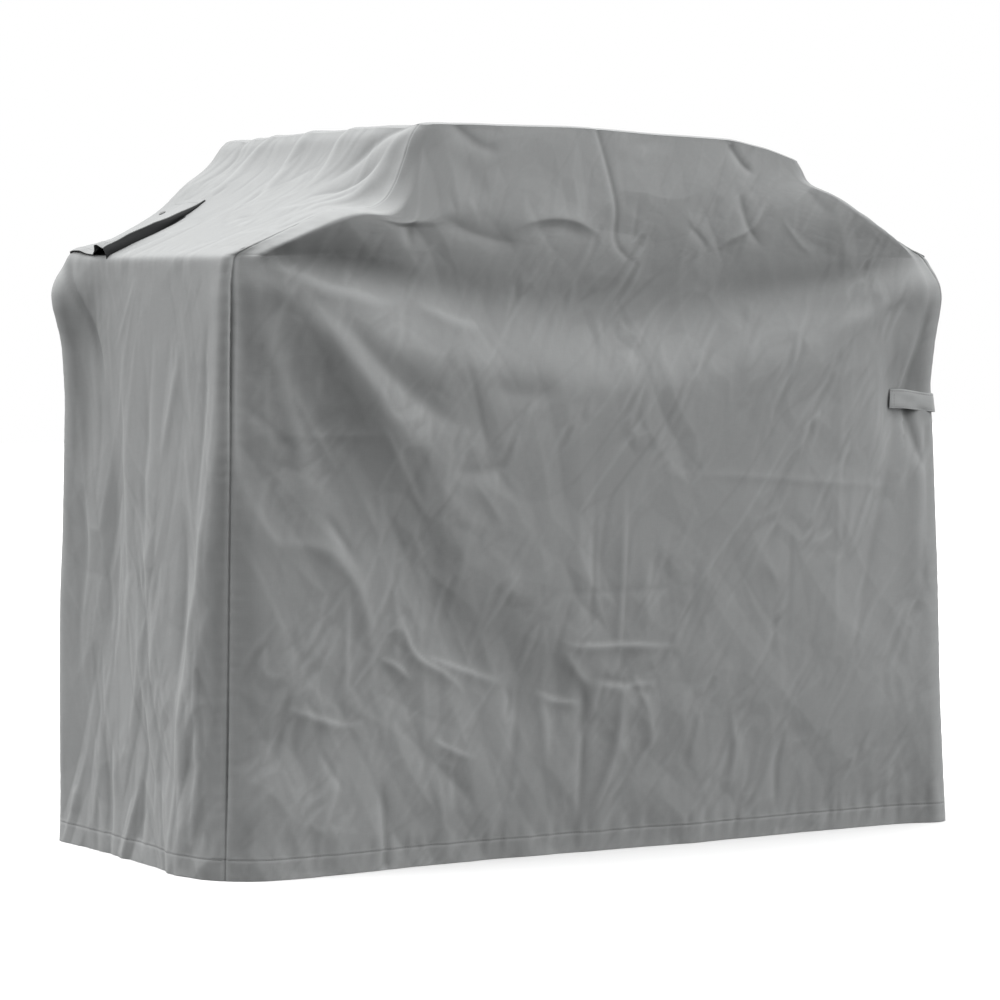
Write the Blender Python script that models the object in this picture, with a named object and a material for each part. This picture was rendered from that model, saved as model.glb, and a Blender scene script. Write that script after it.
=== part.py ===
"""A grill cover: five sewn cloth panels over a cart grill's outline, with a turned hem,
bound seams, two hooded air vents and two hook-and-loop straps.

The frame: origin on the floor under the middle of the cover, +X to the right, +Y to the back, +Z up.
"""

import math

import bmesh
import bpy
from mathutils import Matrix, Vector

# Driving dimensions, in metres.
SHELF_WIDTH = 1.260  # over the grill's two side shelves
SHELF_DEPTH = 0.510
SHELF_HEIGHT = 0.900
TOP_WIDTH = 0.675  # over the grill's hood
TOP_DEPTH = 0.630
HEIGHT = 1.085
HEM_FLARE = 0.025  # how far the hem stands out beyond the shelves, each side
SLOPE_POWER = 1.6  # makes the side slopes hollow: shallow over the shelf, steep at the hood
FRONT_SLACK = 0.035  # how far the front and back hang out in the middle
SLACK_REACH = 0.83  # share of the half width at which the slack has run out
CLOTH = 0.002
GAP = 0.0003
HEM_HEIGHT = 0.030

SKIRT_LEVELS = (0.0, HEM_HEIGHT, 0.25, 0.50, 0.75, 0.86, SHELF_HEIGHT)
SLOPE_STEPS = 9
FRONT_COLUMNS = 12
SIDE_COLUMNS = 6

BINDING_WIDTH = 0.012
BINDING_THICK = 0.0012
BINDING_INSET = 0.002  # from the inner corner of the seam to the tape's edge
BINDING_END = 0.003  # above the hem
RIM_CLEARANCE = 0.030  # from the rim bindings' ends to the corners, past the hip bindings
TOP_CLEARANCE = 0.020  # the same along the top's front and back edges

STRAP_WIDTH = 0.030
STRAP_THICK = 0.0015
STRAP_HEIGHT = 0.670  # of its middle, above the floor
STRAP_TAB = 0.085  # from the corner to the free end
STRAP_BASE = 0.060  # the part sewn to the side
TAPE_THICK = 0.0010  # of the hook tape and of the loop tape
TAPE_LENGTH = 0.035
TAPE_MARGIN = 0.003  # from the tapes' edges to the strap's
HINGE_CLEARANCE = 0.0012

VENT_NEAR = 0.140  # distance of the vent's front gusset from the cover's middle, to the back
VENT_WIDTH = 0.100
VENT_LENGTH_SHARE = 0.50  # of the slope's height, from the shelf edge up
VENT_OPEN = 0.012  # how far the resting flap's mouth stands off the slope
VENT_SEAT = 0.0018  # between the slope and the flap at its sewn edge
VENT_HOLE = (0.060, 0.110)  # the opening in the slope under the flap: across, and up the slope
VENT_MOUTH_RISE = 0.004  # of the flap's mouth above the shelf edge
GUSSET_THICK = 0.0010
MESH_THICK = 0.0008
MESH_LAP = 0.012  # of the screen past the hole, each side
MESH_DEPTH = 0.0034  # of the screen under the slope's outer face
STUD_RADIUS = 0.005
STUD_HEIGHT = 0.0025
STUD_INSET = 0.012  # from the flap's back edge
STUD_SEAT = 0.0009  # keeps the flat stud clear of the bent flap

CLOTH_GREY = (0.36, 0.37, 0.37)
TAPE_GREY = (0.22, 0.225, 0.23)
MESH_BLACK = (0.02, 0.02, 0.02)
STUD_GREY = (0.45, 0.46, 0.46)

LEFT, RIGHT, FRONT, BACK = -1, 1, -1, 1


def clear_scene():
    for obj in list(bpy.data.objects):
        bpy.data.objects.remove(obj)


def material(name, colour, roughness, metallic=0.0):
    made = bpy.data.materials.new(name)
    made.use_nodes = True
    shader = made.node_tree.nodes["Principled BSDF"]
    shader.inputs["Base Color"].default_value = (*colour, 1.0)
    shader.inputs["Roughness"].default_value = roughness
    shader.inputs["Metallic"].default_value = metallic
    return made


# The cover's outline is a stack of rectangles, one at each height.


def rise(z):
    """0 up to the shelf, and 1 at the top of the hood."""
    return max(0.0, (z - SHELF_HEIGHT) / (HEIGHT - SHELF_HEIGHT))


def flare(z):
    return HEM_FLARE * max(0.0, 1 - z / SHELF_HEIGHT)


def half_width(z):
    inset = (SHELF_WIDTH - TOP_WIDTH) / 2 * (1 - (1 - rise(z)) ** SLOPE_POWER)
    return SHELF_WIDTH / 2 + flare(z) - inset


def half_depth(z):
    lean = (TOP_DEPTH - SHELF_DEPTH) / 2 * math.sin(rise(z) * math.pi / 2)
    return SHELF_DEPTH / 2 + flare(z) + lean


def slack(across, z):
    """How far the front and back panels hang out, nothing near their edges."""
    bow = max(0.0, 1 - (across / SLACK_REACH) ** 2)
    return FRONT_SLACK * bow * math.sin(math.pi * z / HEIGHT)


def drop(z):
    """A sheet's inner face lies this many thicknesses below its outer one: none on the upright
    walls, and one from just under the shelf edge up."""
    return 1.0 if z > SHELF_HEIGHT - 0.05 else 0.0


def levels(low=0.0, high=HEIGHT):
    slope = [
        SHELF_HEIGHT + (HEIGHT - SHELF_HEIGHT) * step / SLOPE_STEPS
        for step in range(1, SLOPE_STEPS + 1)
    ]
    return [z for z in (*SKIRT_LEVELS, *slope) if low - 1e-9 <= z <= high + 1e-9]


def front_point(facing, across, z, depth):
    x = across * (half_width(z) - depth - GAP)
    y = half_depth(z) - depth + slack(across, z)
    return Vector((x, facing * y, z - depth * drop(z)))


def side_point(facing, along, z, depth):
    x = half_width(z) - depth
    y = along * (half_depth(z) - depth - GAP)
    return Vector((facing * x, y, z - depth * drop(z)))


def link(name, mesh, paint):
    obj = bpy.data.objects.new(name, mesh)
    obj.data.materials.append(paint)
    bpy.context.scene.collection.objects.link(obj)
    return obj


def mesh_from(bm, name):
    bmesh.ops.recalc_face_normals(bm, faces=bm.faces)
    mesh = bpy.data.meshes.new(name)
    bm.to_mesh(mesh)
    bm.free()
    mesh.shade_smooth()
    mesh.set_sharp_from_angle(angle=math.radians(35))
    return mesh


def sheet(name, outer, inner, paint):
    """A closed sheet between two grids of points, outer and inner, given as rows."""
    bm = bmesh.new()
    rows, columns = len(outer), len(outer[0])
    skins = [[[bm.verts.new(p) for p in row] for row in grid] for grid in (outer, inner)]
    for skin in skins:
        for r in range(rows - 1):
            for c in range(columns - 1):
                bm.faces.new((skin[r][c], skin[r][c + 1], skin[r + 1][c + 1], skin[r + 1][c]))
    border = [(0, c) for c in range(columns)]
    border += [(r, columns - 1) for r in range(1, rows)]
    border += [(rows - 1, c) for c in range(columns - 2, -1, -1)]
    border += [(r, 0) for r in range(rows - 2, 0, -1)]
    for (r0, c0), (r1, c1) in zip(border, border[1:] + border[:1]):
        bm.faces.new((skins[0][r0][c0], skins[0][r1][c1], skins[1][r1][c1], skins[1][r0][c0]))
    return link(name, mesh_from(bm, name), paint)


def slab(name, centre, axes, size, paint):
    """A box of that size, with its sides along the three given directions."""
    bm = bmesh.new()
    bmesh.ops.create_cube(bm, size=1.0)
    turn = Matrix(axes).transposed().to_4x4()
    bmesh.ops.scale(bm, vec=size, verts=bm.verts)
    bmesh.ops.transform(bm, matrix=Matrix.Translation(centre) @ turn, verts=bm.verts)
    return link(name, mesh_from(bm, name), paint)


def box(name, low, high, paint):
    low, high = Vector(low), Vector(high)
    return slab(name, (low + high) / 2, Matrix.Identity(3), high - low, paint)


def put_origin(obj, point):
    """Move an object's origin to its joint's axis and leave its mesh where it is."""
    obj.data.transform(Matrix.Translation(-point))
    obj.location = point


def shares(count):
    """Evenly spaced from -1 to 1."""
    return [-1 + 2 * i / count for i in range(count + 1)]


def grid(point, facing, columns, heights, depth):
    return [[point(facing, share, z, depth) for share in shares(columns)] for z in heights]


def panel(name, point, facing, columns, paint):
    heights = levels()
    outer = grid(point, facing, columns, heights, 0.0)
    inner = grid(point, facing, columns, heights, CLOTH)
    return sheet(name, outer, inner, paint)


def hem(name, point, facing, columns, paint):
    """The turned-up edge: a second layer inside the panel, down to the floor."""
    heights = levels(high=HEM_HEIGHT)
    outer = grid(point, facing, columns, heights, CLOTH + GAP)
    inner = grid(point, facing, columns, heights, 2 * CLOTH + GAP)
    return sheet(name, outer, inner, paint)


def top_panel(paint):
    half_x = TOP_WIDTH / 2 - GAP
    half_y = TOP_DEPTH / 2 - GAP

    def layer(depth):
        return [
            [Vector((x * (half_x - depth), y * (half_y - depth), HEIGHT - depth)) for x in shares(4)]
            for y in shares(3)
        ]

    return sheet("top_panel", layer(0.0), layer(CLOTH), paint)


def slope_normal(z, facing):
    """The outward normal of a side slope at height z."""
    step = 1e-4
    run = half_width(z - step) - half_width(z + step)
    return Vector((facing * 2 * step, 0, run)).normalized()


def tape(name, spine, inward, paint):
    """A flat tape standing on edge along a seam: spine holds the seam's inner corner points,
    inward the direction that the tape stands in at each."""
    bm = bmesh.new()
    rings = []
    for i, (corner, lean) in enumerate(zip(spine, inward)):
        tangent = spine[min(i + 1, len(spine) - 1)] - spine[max(i - 1, 0)]
        side = tangent.cross(lean).normalized() * (BINDING_THICK / 2)
        foot = corner + lean * BINDING_INSET
        head = foot + lean * BINDING_WIDTH
        rings.append([bm.verts.new(p) for p in (foot + side, head + side, head - side, foot - side)])
    for a, b in zip(rings, rings[1:]):
        for k in range(4):
            bm.faces.new((a[k], a[(k + 1) % 4], b[(k + 1) % 4], b[k]))
    bm.faces.new(rings[0])
    bm.faces.new(rings[-1])
    return link(name, mesh_from(bm, name), paint)


def hip_corner(x_side, y_side, z):
    """The inner corner where a side panel meets the front or back one, and its inward way."""
    corner = Vector(
        (
            x_side * (half_width(z) - CLOTH),
            y_side * (half_depth(z) - CLOTH),
            z - CLOTH * drop(z),
        )
    )
    if z < SHELF_HEIGHT:
        side_in = Vector((-x_side, 0, 0))
    else:
        side_in = -slope_normal(z, x_side)
    return corner, (side_in + Vector((0, -y_side, 0))).normalized()


def seam_binding(name, y_side, paint):
    """One bound seam round the whole edge of the front or back panel."""
    heights = [z for z in levels(low=HEM_HEIGHT) if z < HEIGHT]
    heights[0] = HEM_HEIGHT + BINDING_END
    left = [hip_corner(LEFT, y_side, z) for z in heights]
    right = [hip_corner(RIGHT, y_side, z) for z in heights]
    y = y_side * (TOP_DEPTH / 2 - CLOTH)
    down_in = Vector((0, -y_side, -1)).normalized()
    reach = TOP_WIDTH / 2 - TOP_CLEARANCE
    across = [(Vector((x * reach, y, HEIGHT - CLOTH)), down_in) for x in shares(4)]
    path = left + across + right[::-1]
    return tape(name, [p for p, _ in path], [d for _, d in path], paint)


def rim_binding(name, x_side, paint):
    """The bound seam between the top panel and a side slope."""
    inward = (Vector((0, 0, -1)) - slope_normal(HEIGHT - 0.01, x_side)).normalized()
    reach = TOP_DEPTH / 2 - RIM_CLEARANCE
    x = x_side * (TOP_WIDTH / 2 - CLOTH)
    spine = [Vector((x, y * reach, HEIGHT - CLOTH)) for y in shares(4)]
    return tape(name, spine, [inward] * len(spine), paint)


# A vent: a flap that is sewn along its upper edge and stands on two gussets over a meshed hole.


def vent_heights():
    top = SHELF_HEIGHT + (HEIGHT - SHELF_HEIGHT) * VENT_LENGTH_SHARE
    inner = [z for z in levels() if SHELF_HEIGHT < z < top]
    return [SHELF_HEIGHT + VENT_MOUTH_RISE, *inner, top]


def on_slope(x_side, y, z, height):
    """A point that stands this high off the slope's outer face."""
    foot = Vector((x_side * half_width(z), y, z))
    return foot + slope_normal(z, x_side) * height


def vent_stand(x_side, z):
    """How far the resting flap's underside is from the slope, growing straight from its hinge."""
    heights = vent_heights()
    hinge = on_slope(x_side, 0, heights[-1], 0)
    mouth = on_slope(x_side, 0, heights[0], 0)
    here = on_slope(x_side, 0, z, 0)
    return VENT_SEAT + (VENT_OPEN - VENT_SEAT) * (here - hinge).length / (mouth - hinge).length


def vent_span(x_side):
    """The vent's two ends along Y. The right-hand one is the left-hand one turned half round."""
    near = -x_side * VENT_NEAR
    far = -x_side * (VENT_NEAR + VENT_WIDTH)
    return near, far


def vent_hinge(x_side):
    """The middle of the flap's sewn upper edge."""
    near, far = vent_span(x_side)
    return on_slope(x_side, (near + far) / 2, vent_heights()[-1], VENT_SEAT + CLOTH / 2)


def vent_flap(name, x_side, paint):
    near, far = vent_span(x_side)
    columns = [near + (far - near) * i / 4 for i in range(5)]
    heights = vent_heights()

    def layer(extra):
        return [
            [on_slope(x_side, y, z, vent_stand(x_side, z) + extra) for y in columns]
            for z in heights
        ]

    put_origin(sheet(name, layer(CLOTH), layer(0.0), paint), vent_hinge(x_side))


def vent_gusset(name, x_side, y, inward, paint):
    """A side wall of the vent, with its foot on the slope and its head under the flap."""
    heights = vent_heights()

    def layer(shift):
        rows = []
        for z in heights:
            head = max(vent_stand(x_side, z) - GAP, 2 * GAP)
            rows.append([on_slope(x_side, y + shift, z, h) for h in (GAP, head)])
        return rows

    return sheet(name, layer(0.0), layer(inward * GUSSET_THICK), paint)


def vent_hole_frame(x_side):
    """The middle of the vent's hole on the slope, and the slope's own directions there."""
    near, far = vent_span(x_side)
    heights = vent_heights()
    z = (heights[0] + heights[-1]) / 2
    up = slope_normal(z, x_side)
    along = Vector((0, 1, 0))
    return on_slope(x_side, (near + far) / 2, z, 0), along, along.cross(up), up


def cut_vent_hole(panel_obj, x_side, paint):
    centre, along, upward, normal = vent_hole_frame(x_side)
    across, length = VENT_HOLE
    size = (across, length, 0.03)
    cutter = slab(f"{panel_obj.name}_hole", centre, (along, upward, normal), size, paint)
    cutter.hide_render = True
    cutter.display_type = "WIRE"
    cut = panel_obj.modifiers.new("vent_hole", "BOOLEAN")
    cut.operation = "DIFFERENCE"
    cut.object = cutter


def vent_mesh(name, x_side, paint):
    """The insect screen, sewn inside the slope and a little larger than the hole."""
    middle = sum(vent_span(x_side)) / 2
    half = VENT_HOLE[0] / 2 + MESH_LAP
    columns = [middle - half, middle, middle + half]
    heights = vent_heights()[1:]

    def layer(depth):
        return [[on_slope(x_side, y, z, -depth) for y in columns] for z in heights]

    return sheet(name, layer(MESH_DEPTH), layer(MESH_DEPTH + MESH_THICK), paint)


def vent_stud(name, x_side, paint):
    """The press stud that holds the flap's upper back corner."""
    _, far = vent_span(x_side)
    z = vent_heights()[-2]
    y = far + x_side * STUD_INSET
    foot = on_slope(x_side, y, z, vent_stand(x_side, z) + CLOTH + STUD_SEAT)
    normal = slope_normal(z, x_side)
    bm = bmesh.new()
    bmesh.ops.create_cone(
        bm,
        cap_ends=True,
        segments=20,
        radius1=STUD_RADIUS,
        radius2=STUD_RADIUS * 0.7,
        depth=STUD_HEIGHT,
    )
    turn = normal.to_track_quat("Z", "Y").to_matrix().to_4x4()
    centre = foot + normal * (STUD_HEIGHT / 2)
    bmesh.ops.transform(bm, matrix=Matrix.Translation(centre) @ turn, verts=bm.verts)
    put_origin(link(name, mesh_from(bm, name), paint), vent_hinge(x_side))


def vent(side_name, x_side, panel_obj, cloth, mesh_paint, stud_paint):
    near, far = vent_span(x_side)
    inward = math.copysign(1.0, far - near)
    vent_flap(f"{side_name}_vent_flap", x_side, cloth)
    vent_gusset(f"{side_name}_vent_near_gusset", x_side, near, inward, cloth)
    vent_gusset(f"{side_name}_vent_far_gusset", x_side, far, -inward, cloth)
    cut_vent_hole(panel_obj, x_side, cloth)
    vent_mesh(f"{side_name}_vent_mesh", x_side, mesh_paint)
    vent_stud(f"{side_name}_vent_stud", x_side, stud_paint)


# A strap: its base is sewn to a side panel and its free tab closes round the corner
# with hook tape on loop tape.


def strap_corner():
    """The strap's fold line at the right-hand front corner, in plan."""
    low = STRAP_HEIGHT - STRAP_WIDTH / 2
    stand = TAPE_THICK * 2 + GAP * 3 + STRAP_THICK / 2
    return half_width(low) + GAP * 2 + STRAP_THICK / 2, -(half_depth(low) + stand)


def strap(name, y_side, paint, tape_paint):
    """The strap of the front right corner, or its mirror image at the back right corner."""
    fold_x, fold_y = strap_corner()
    low = STRAP_HEIGHT - STRAP_WIDTH / 2
    high = STRAP_HEIGHT + STRAP_WIDTH / 2
    half = STRAP_THICK / 2
    panel_y = -half_depth(low)
    tape_start = fold_x - STRAP_TAB + TAPE_MARGIN
    tape_end = tape_start + TAPE_LENGTH
    tape_low = low + TAPE_MARGIN
    tape_high = high - TAPE_MARGIN
    spans = {
        "base": ((fold_x - half, fold_x + half), (fold_y + HINGE_CLEARANCE, fold_y + STRAP_BASE)),
        "tab": ((fold_x - STRAP_TAB, fold_x - HINGE_CLEARANCE), (fold_y - half, fold_y + half)),
        "hook_tape": (
            (tape_start, tape_end),
            (fold_y + half + GAP / 2, fold_y + half + GAP / 2 + TAPE_THICK),
        ),
        "loop_tape": ((tape_start, tape_end), (panel_y - GAP - TAPE_THICK, panel_y - GAP)),
    }
    hinge = Vector((fold_x, -y_side * fold_y, STRAP_HEIGHT))
    for part, ((x0, x1), span) in spans.items():
        is_tape = "tape" in part
        z0, z1 = (tape_low, tape_high) if is_tape else (low, high)
        y0, y1 = sorted(-y_side * y for y in span)
        obj = box(f"{name}_{part}", (x0, y0, z0), (x1, y1, z1), tape_paint if is_tape else paint)
        if part in ("tab", "hook_tape"):
            put_origin(obj, hinge)


def main():
    clear_scene()
    cloth = material("cover_cloth", CLOTH_GREY, 0.75)
    strap_paint = material("strap_cloth", CLOTH_GREY, 0.75)
    tape_paint = material("hook_and_loop", TAPE_GREY, 0.95)
    binding = material("seam_binding", TAPE_GREY, 0.85)
    mesh_paint = material("vent_mesh", MESH_BLACK, 0.6)
    stud_paint = material("vent_stud", STUD_GREY, 0.4)

    panel("front_panel", front_point, FRONT, FRONT_COLUMNS, cloth)
    panel("back_panel", front_point, BACK, FRONT_COLUMNS, cloth)
    left = panel("left_side_panel", side_point, LEFT, SIDE_COLUMNS, cloth)
    right = panel("right_side_panel", side_point, RIGHT, SIDE_COLUMNS, cloth)
    top_panel(cloth)

    hem("front_hem", front_point, FRONT, FRONT_COLUMNS, cloth)
    hem("back_hem", front_point, BACK, FRONT_COLUMNS, cloth)
    hem("left_hem", side_point, LEFT, SIDE_COLUMNS, cloth)
    hem("right_hem", side_point, RIGHT, SIDE_COLUMNS, cloth)

    seam_binding("front_seam_binding", FRONT, binding)
    seam_binding("back_seam_binding", BACK, binding)
    rim_binding("left_rim_binding", LEFT, binding)
    rim_binding("right_rim_binding", RIGHT, binding)

    vent("left", LEFT, left, cloth, mesh_paint, stud_paint)
    vent("right", RIGHT, right, cloth, mesh_paint, stud_paint)

    strap("front_right_strap", FRONT, strap_paint, tape_paint)
    strap("back_right_strap", BACK, strap_paint, tape_paint)


main()
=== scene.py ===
"""The looks of the grill cover: coated cloth with its folds, seams, stitches, vents and straps.

One outer surface is laid round the cover in rows from the hem to the rim. Each panel is a stretch of
those rows between two seams, so neighbours share their edges. Folds then push the panels in and out.
"""

import math

import bmesh
import bpy
import numpy as np
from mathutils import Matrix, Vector

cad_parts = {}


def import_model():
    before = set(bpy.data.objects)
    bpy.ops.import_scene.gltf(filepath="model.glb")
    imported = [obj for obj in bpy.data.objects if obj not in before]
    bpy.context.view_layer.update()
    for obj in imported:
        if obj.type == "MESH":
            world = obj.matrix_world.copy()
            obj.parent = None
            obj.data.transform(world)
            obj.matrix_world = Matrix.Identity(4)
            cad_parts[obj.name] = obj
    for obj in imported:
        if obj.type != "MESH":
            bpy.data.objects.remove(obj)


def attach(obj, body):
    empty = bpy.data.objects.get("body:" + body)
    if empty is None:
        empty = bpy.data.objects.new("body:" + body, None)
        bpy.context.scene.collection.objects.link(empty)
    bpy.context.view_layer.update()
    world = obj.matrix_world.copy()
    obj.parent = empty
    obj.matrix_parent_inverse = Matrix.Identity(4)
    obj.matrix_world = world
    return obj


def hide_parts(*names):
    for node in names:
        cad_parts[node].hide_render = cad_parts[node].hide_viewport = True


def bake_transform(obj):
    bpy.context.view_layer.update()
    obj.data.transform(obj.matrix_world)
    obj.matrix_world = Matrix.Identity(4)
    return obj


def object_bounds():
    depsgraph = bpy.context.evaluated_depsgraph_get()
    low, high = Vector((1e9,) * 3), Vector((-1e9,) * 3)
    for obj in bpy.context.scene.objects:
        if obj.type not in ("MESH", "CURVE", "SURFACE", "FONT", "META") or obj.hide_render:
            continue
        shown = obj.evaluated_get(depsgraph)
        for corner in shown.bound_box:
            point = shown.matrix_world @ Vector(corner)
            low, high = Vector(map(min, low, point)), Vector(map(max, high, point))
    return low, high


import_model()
cad_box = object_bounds()

# The part's own sizes, in metres.
SHELF_X, SHELF_Y, SHELF_Z = 0.630, 0.255, 0.900
TOP_X, TOP_Y = 0.3375, 0.315
HEIGHT = cad_box[1].z
FLARE = 0.025
SLOPE_POWER = 1.6
HEM = 0.030

CELL = 0.0036  # the mesh's usual spacing
COARSE = 0.0046  # the spacing on the two sides away from the camera
EDGE_STEPS = (0.0008, 0.0016, 0.0026, 0.004, 0.006, 0.0085)  # finer beside a seam or a stitch line
EDGE_ROUND = 0.007  # softens the turn at the shelf edge
RIM_DROP = 0.0035  # of the top seam below the crown of the top
RIM_ROUND = ((0.70, 0), (0.86, 0.007), (0.94, 0.009), (1.0, 0.0))  # the slope's bulge below the rim
CLOTH = 0.0011
SEAM_DEPTH = 0.0018
SEAM_WIDTH = 0.0018
SEAM_FADE = 0.035  # folds die out this far from a seam


def smooth(t):
    """From 0 at 0 to 1 at 1, level at both ends."""
    t = np.clip(t, 0, 1)
    return t * t * (3 - 2 * t)


def ramp(x, start, width):
    """From 0 at start to 1 a width further on."""
    return smooth((x - start) / width)


def knots(x, table):
    """A soft curve through the table's (place, value) pairs."""
    places, values = np.array(table, float).T
    fine = np.linspace(places[0], places[-1], 600)
    curve = np.interp(fine, places, values)
    kernel = np.exp(-np.linspace(-2, 2, 41) ** 2)
    padded = np.pad(curve, 20, mode="edge")
    return np.interp(x, fine, np.convolve(padded, kernel / kernel.sum(), "valid"))


# ---------------------------------------------------------------- the bare outline


def strip_profile():
    """Along the side strip, from the hem up over the slope to the rim: length, half width, height."""
    rise = np.linspace(0, 1, 900)
    x = SHELF_X - (SHELF_X - TOP_X) * (1 - (1 - rise) ** SLOPE_POWER)
    x = x + np.interp(rise, *np.array(RIM_ROUND).T)
    z = SHELF_Z + (HEIGHT - RIM_DROP - SHELF_Z) * rise
    x = np.concatenate([[SHELF_X + FLARE], x])
    z = np.concatenate([[0.0], z])
    length = np.concatenate([[0], np.cumsum(np.hypot(np.diff(x), np.diff(z)))])
    step = 0.001
    at = np.arange(0, length[-1] + step, step)
    x, z = np.interp(at, length, x), np.interp(at, length, z)
    half = int(3 * EDGE_ROUND / step)
    kernel = np.exp(-((np.arange(-half, half + 1) * step / EDGE_ROUND) ** 2) / 2)

    def soften(a):
        low = a[0] - (a[1] - a[0]) * np.arange(half, 0, -1)
        high = a[-1] + (a[-1] - a[-2]) * np.arange(1, half + 1)
        return np.convolve(np.concatenate([low, a, high]), kernel / kernel.sum(), "valid")

    return at, soften(x), np.maximum(soften(z), 0)


STRIP, STRIP_X, STRIP_Z = strip_profile()
SHELF_AT = float(np.interp(SHELF_Z - 0.002, STRIP_Z, STRIP))
RIM_AT = float(STRIP[-1])


def half_depth(z):
    """How far the bare outline's front stands from the middle of the cover, at each height."""
    rise = np.clip((z - SHELF_Z) / (HEIGHT - SHELF_Z), 0, 1)
    lean = (TOP_Y - SHELF_Y) * np.sin(rise * math.pi / 2)
    return SHELF_Y + FLARE * np.clip(1 - z / SHELF_Z, 0, 1) + lean


# A corner's radius and how far its seam lies past its middle, counter-clockwise seen from above,
# both by the distance up the strip.
LOOSE_RADIUS = ((0, 0.085), (0.15, 0.090), (0.29, 0.080), (0.46, 0.060), (0.62, 0.024), (0.80, 0.013),
                (0.90, 0.010), (1.00, 0.010), (1.10, 0.014), (1.18, 0.022), (1.26, 0.020))
LOOSE_SHIFT = ((0, -0.002), (0.15, -0.002), (0.29, 0.0), (0.46, 0.003), (0.62, 0.008), (0.80, 0.009),
               (0.875, 0.008), (0.90, 0.017), (0.93, 0.004), (1.00, -0.004), (1.10, -0.010),
               (1.18, -0.012), (1.26, -0.008))
STRAP_RADIUS = ((0, 0.035), (0.45, 0.030), (0.62, 0.020), (0.80, 0.016), (0.90, 0.010), (1.05, 0.014),
                (1.18, 0.025), (1.26, 0.018))
STRAP_SHIFT = ((0, 0.0), (0.80, 0.0), (0.875, -0.004), (0.90, -0.012), (0.93, -0.004), (1.26, 0.0))
# How far each corner's seam stands out, by its height: a loose ear under the shelf, and the hem.
LOOSE_EAR = ((0, 0.002), (0.30, 0.0), (0.70, 0.0), (0.84, 0.005), (0.87, 0.003), (0.905, 0.0), (1.1, 0.0))
STRAP_EAR = ((0, 0.011), (0.20, 0.008), (0.42, 0.010), (0.60, 0.006), (0.70, 0.003), (0.77, 0.013),
             (0.835, 0.026), (0.86, 0.025), (0.885, 0.010), (0.905, -0.002), (0.93, 0.0), (1.1, 0.0))
BACK_EAR = ((0, 0.002), (0.37, 0.012), (0.60, 0.010), (0.68, 0.010), (0.77, 0.018), (0.835, 0.038),
            (0.86, 0.037), (0.885, 0.022), (0.905, 0.013), (0.93, 0.007), (0.97, 0.0), (1.1, 0.0))
# The corners, counter-clockwise from the front left: which side of the middle, then the tables.
CORNERS = (
    (-1, -1, LOOSE_RADIUS, LOOSE_SHIFT, LOOSE_EAR),
    (1, -1, STRAP_RADIUS, STRAP_SHIFT, STRAP_EAR),
    (1, 1, STRAP_RADIUS, STRAP_SHIFT, STRAP_EAR),
    (-1, 1, STRAP_RADIUS, STRAP_SHIFT, BACK_EAR),
)
# How deep the loose corner's seam sinks in, by height.
SEAM_OPEN = ((0.0, 0.0), (0.06, 0.0005), (0.12, 0.003), (0.22, 0.003), (0.30, 0.0012), (0.60, 0.001),
             (0.70, 0.003), (0.80, 0.0045), (0.86, 0.003), (0.885, 0.0), (1.1, 0.0))
ARC_STEPS = 12


def spaced(length, cell, lines=()):
    """Even places from 0 to length, closer together at both ends and beside each given line."""
    even = np.linspace(0, length, int(round(length / cell)) + 1)
    lines = [0.0, length, *lines]
    keep = np.all([np.abs(even - at) > EDGE_STEPS[-1] + cell / 3 for at in lines], axis=0)
    near = [at + side * step for at in lines for side in (-1, 1) for step in EDGE_STEPS]
    places = np.concatenate([even[keep], near, lines])
    return np.unique(places[(places >= 0) & (places <= length)].round(6))


ROWS = spaced(RIM_AT, CELL, lines=(HEM, SHELF_AT))
ROW_Z = np.interp(ROWS, STRIP, STRIP_Z)
ROW_X = np.interp(ROWS, STRIP, STRIP_X)
ROW_Y = half_depth(ROW_Z)


def perimeter():
    """The plan outline of every row, and how far along it each corner's seam lies."""
    xs, ys, radii = [], [], []
    for k, (sx, sy, radius, _, _) in enumerate(CORNERS):
        r = knots(ROWS, radius)[:, None]
        turn = math.pi + (k + np.arange(ARC_STEPS + 1) / ARC_STEPS) * math.pi / 2
        xs.append(sx * (ROW_X[:, None] - r) + r * np.cos(turn))
        ys.append(sy * (ROW_Y[:, None] - r) + r * np.sin(turn))
        radii.append(r)
    x, y = np.hstack(xs), np.hstack(ys)
    x, y = np.hstack([x, x[:, :1]]), np.hstack([y, y[:, :1]])
    along = np.cumsum(np.hypot(np.diff(x), np.diff(y)), axis=1)
    along = np.hstack([np.zeros((len(x), 1)), along])
    seams = [
        along[:, k * (ARC_STEPS + 1) + ARC_STEPS // 2] + knots(ROWS, shift)
        for k, (_, _, _, shift, _) in enumerate(CORNERS)
    ]
    return x, y, along, seams


OUTLINE = perimeter()


def bare_panel(k, width, cell):
    """The undisturbed grid of the panel that follows corner k, and its columns' shares."""
    x, y, along, seams = OUTLINE
    shares = spaced(width, cell) / width
    grid = np.zeros((len(ROWS), len(shares), 3))
    for row in range(len(ROWS)):
        whole = along[row, -1]
        start, end = seams[k][row], seams[(k + 1) % 4][row]
        end += whole if end < start else 0
        at = (start + shares * (end - start)) % whole
        grid[row, :, 0] = np.interp(at, along[row], x[row])
        grid[row, :, 1] = np.interp(at, along[row], y[row])
    grid[:, :, 2] = ROW_Z[:, None]
    return grid, shares


def normals(grid):
    """Unit normals of a grid, out of the cover."""
    across = np.gradient(grid, axis=1)
    up = np.gradient(grid, axis=0)
    n = np.cross(across, up)
    return n / np.maximum(np.linalg.norm(n, axis=2, keepdims=True), 1e-12)


# ---------------------------------------------------------------- folds


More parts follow.
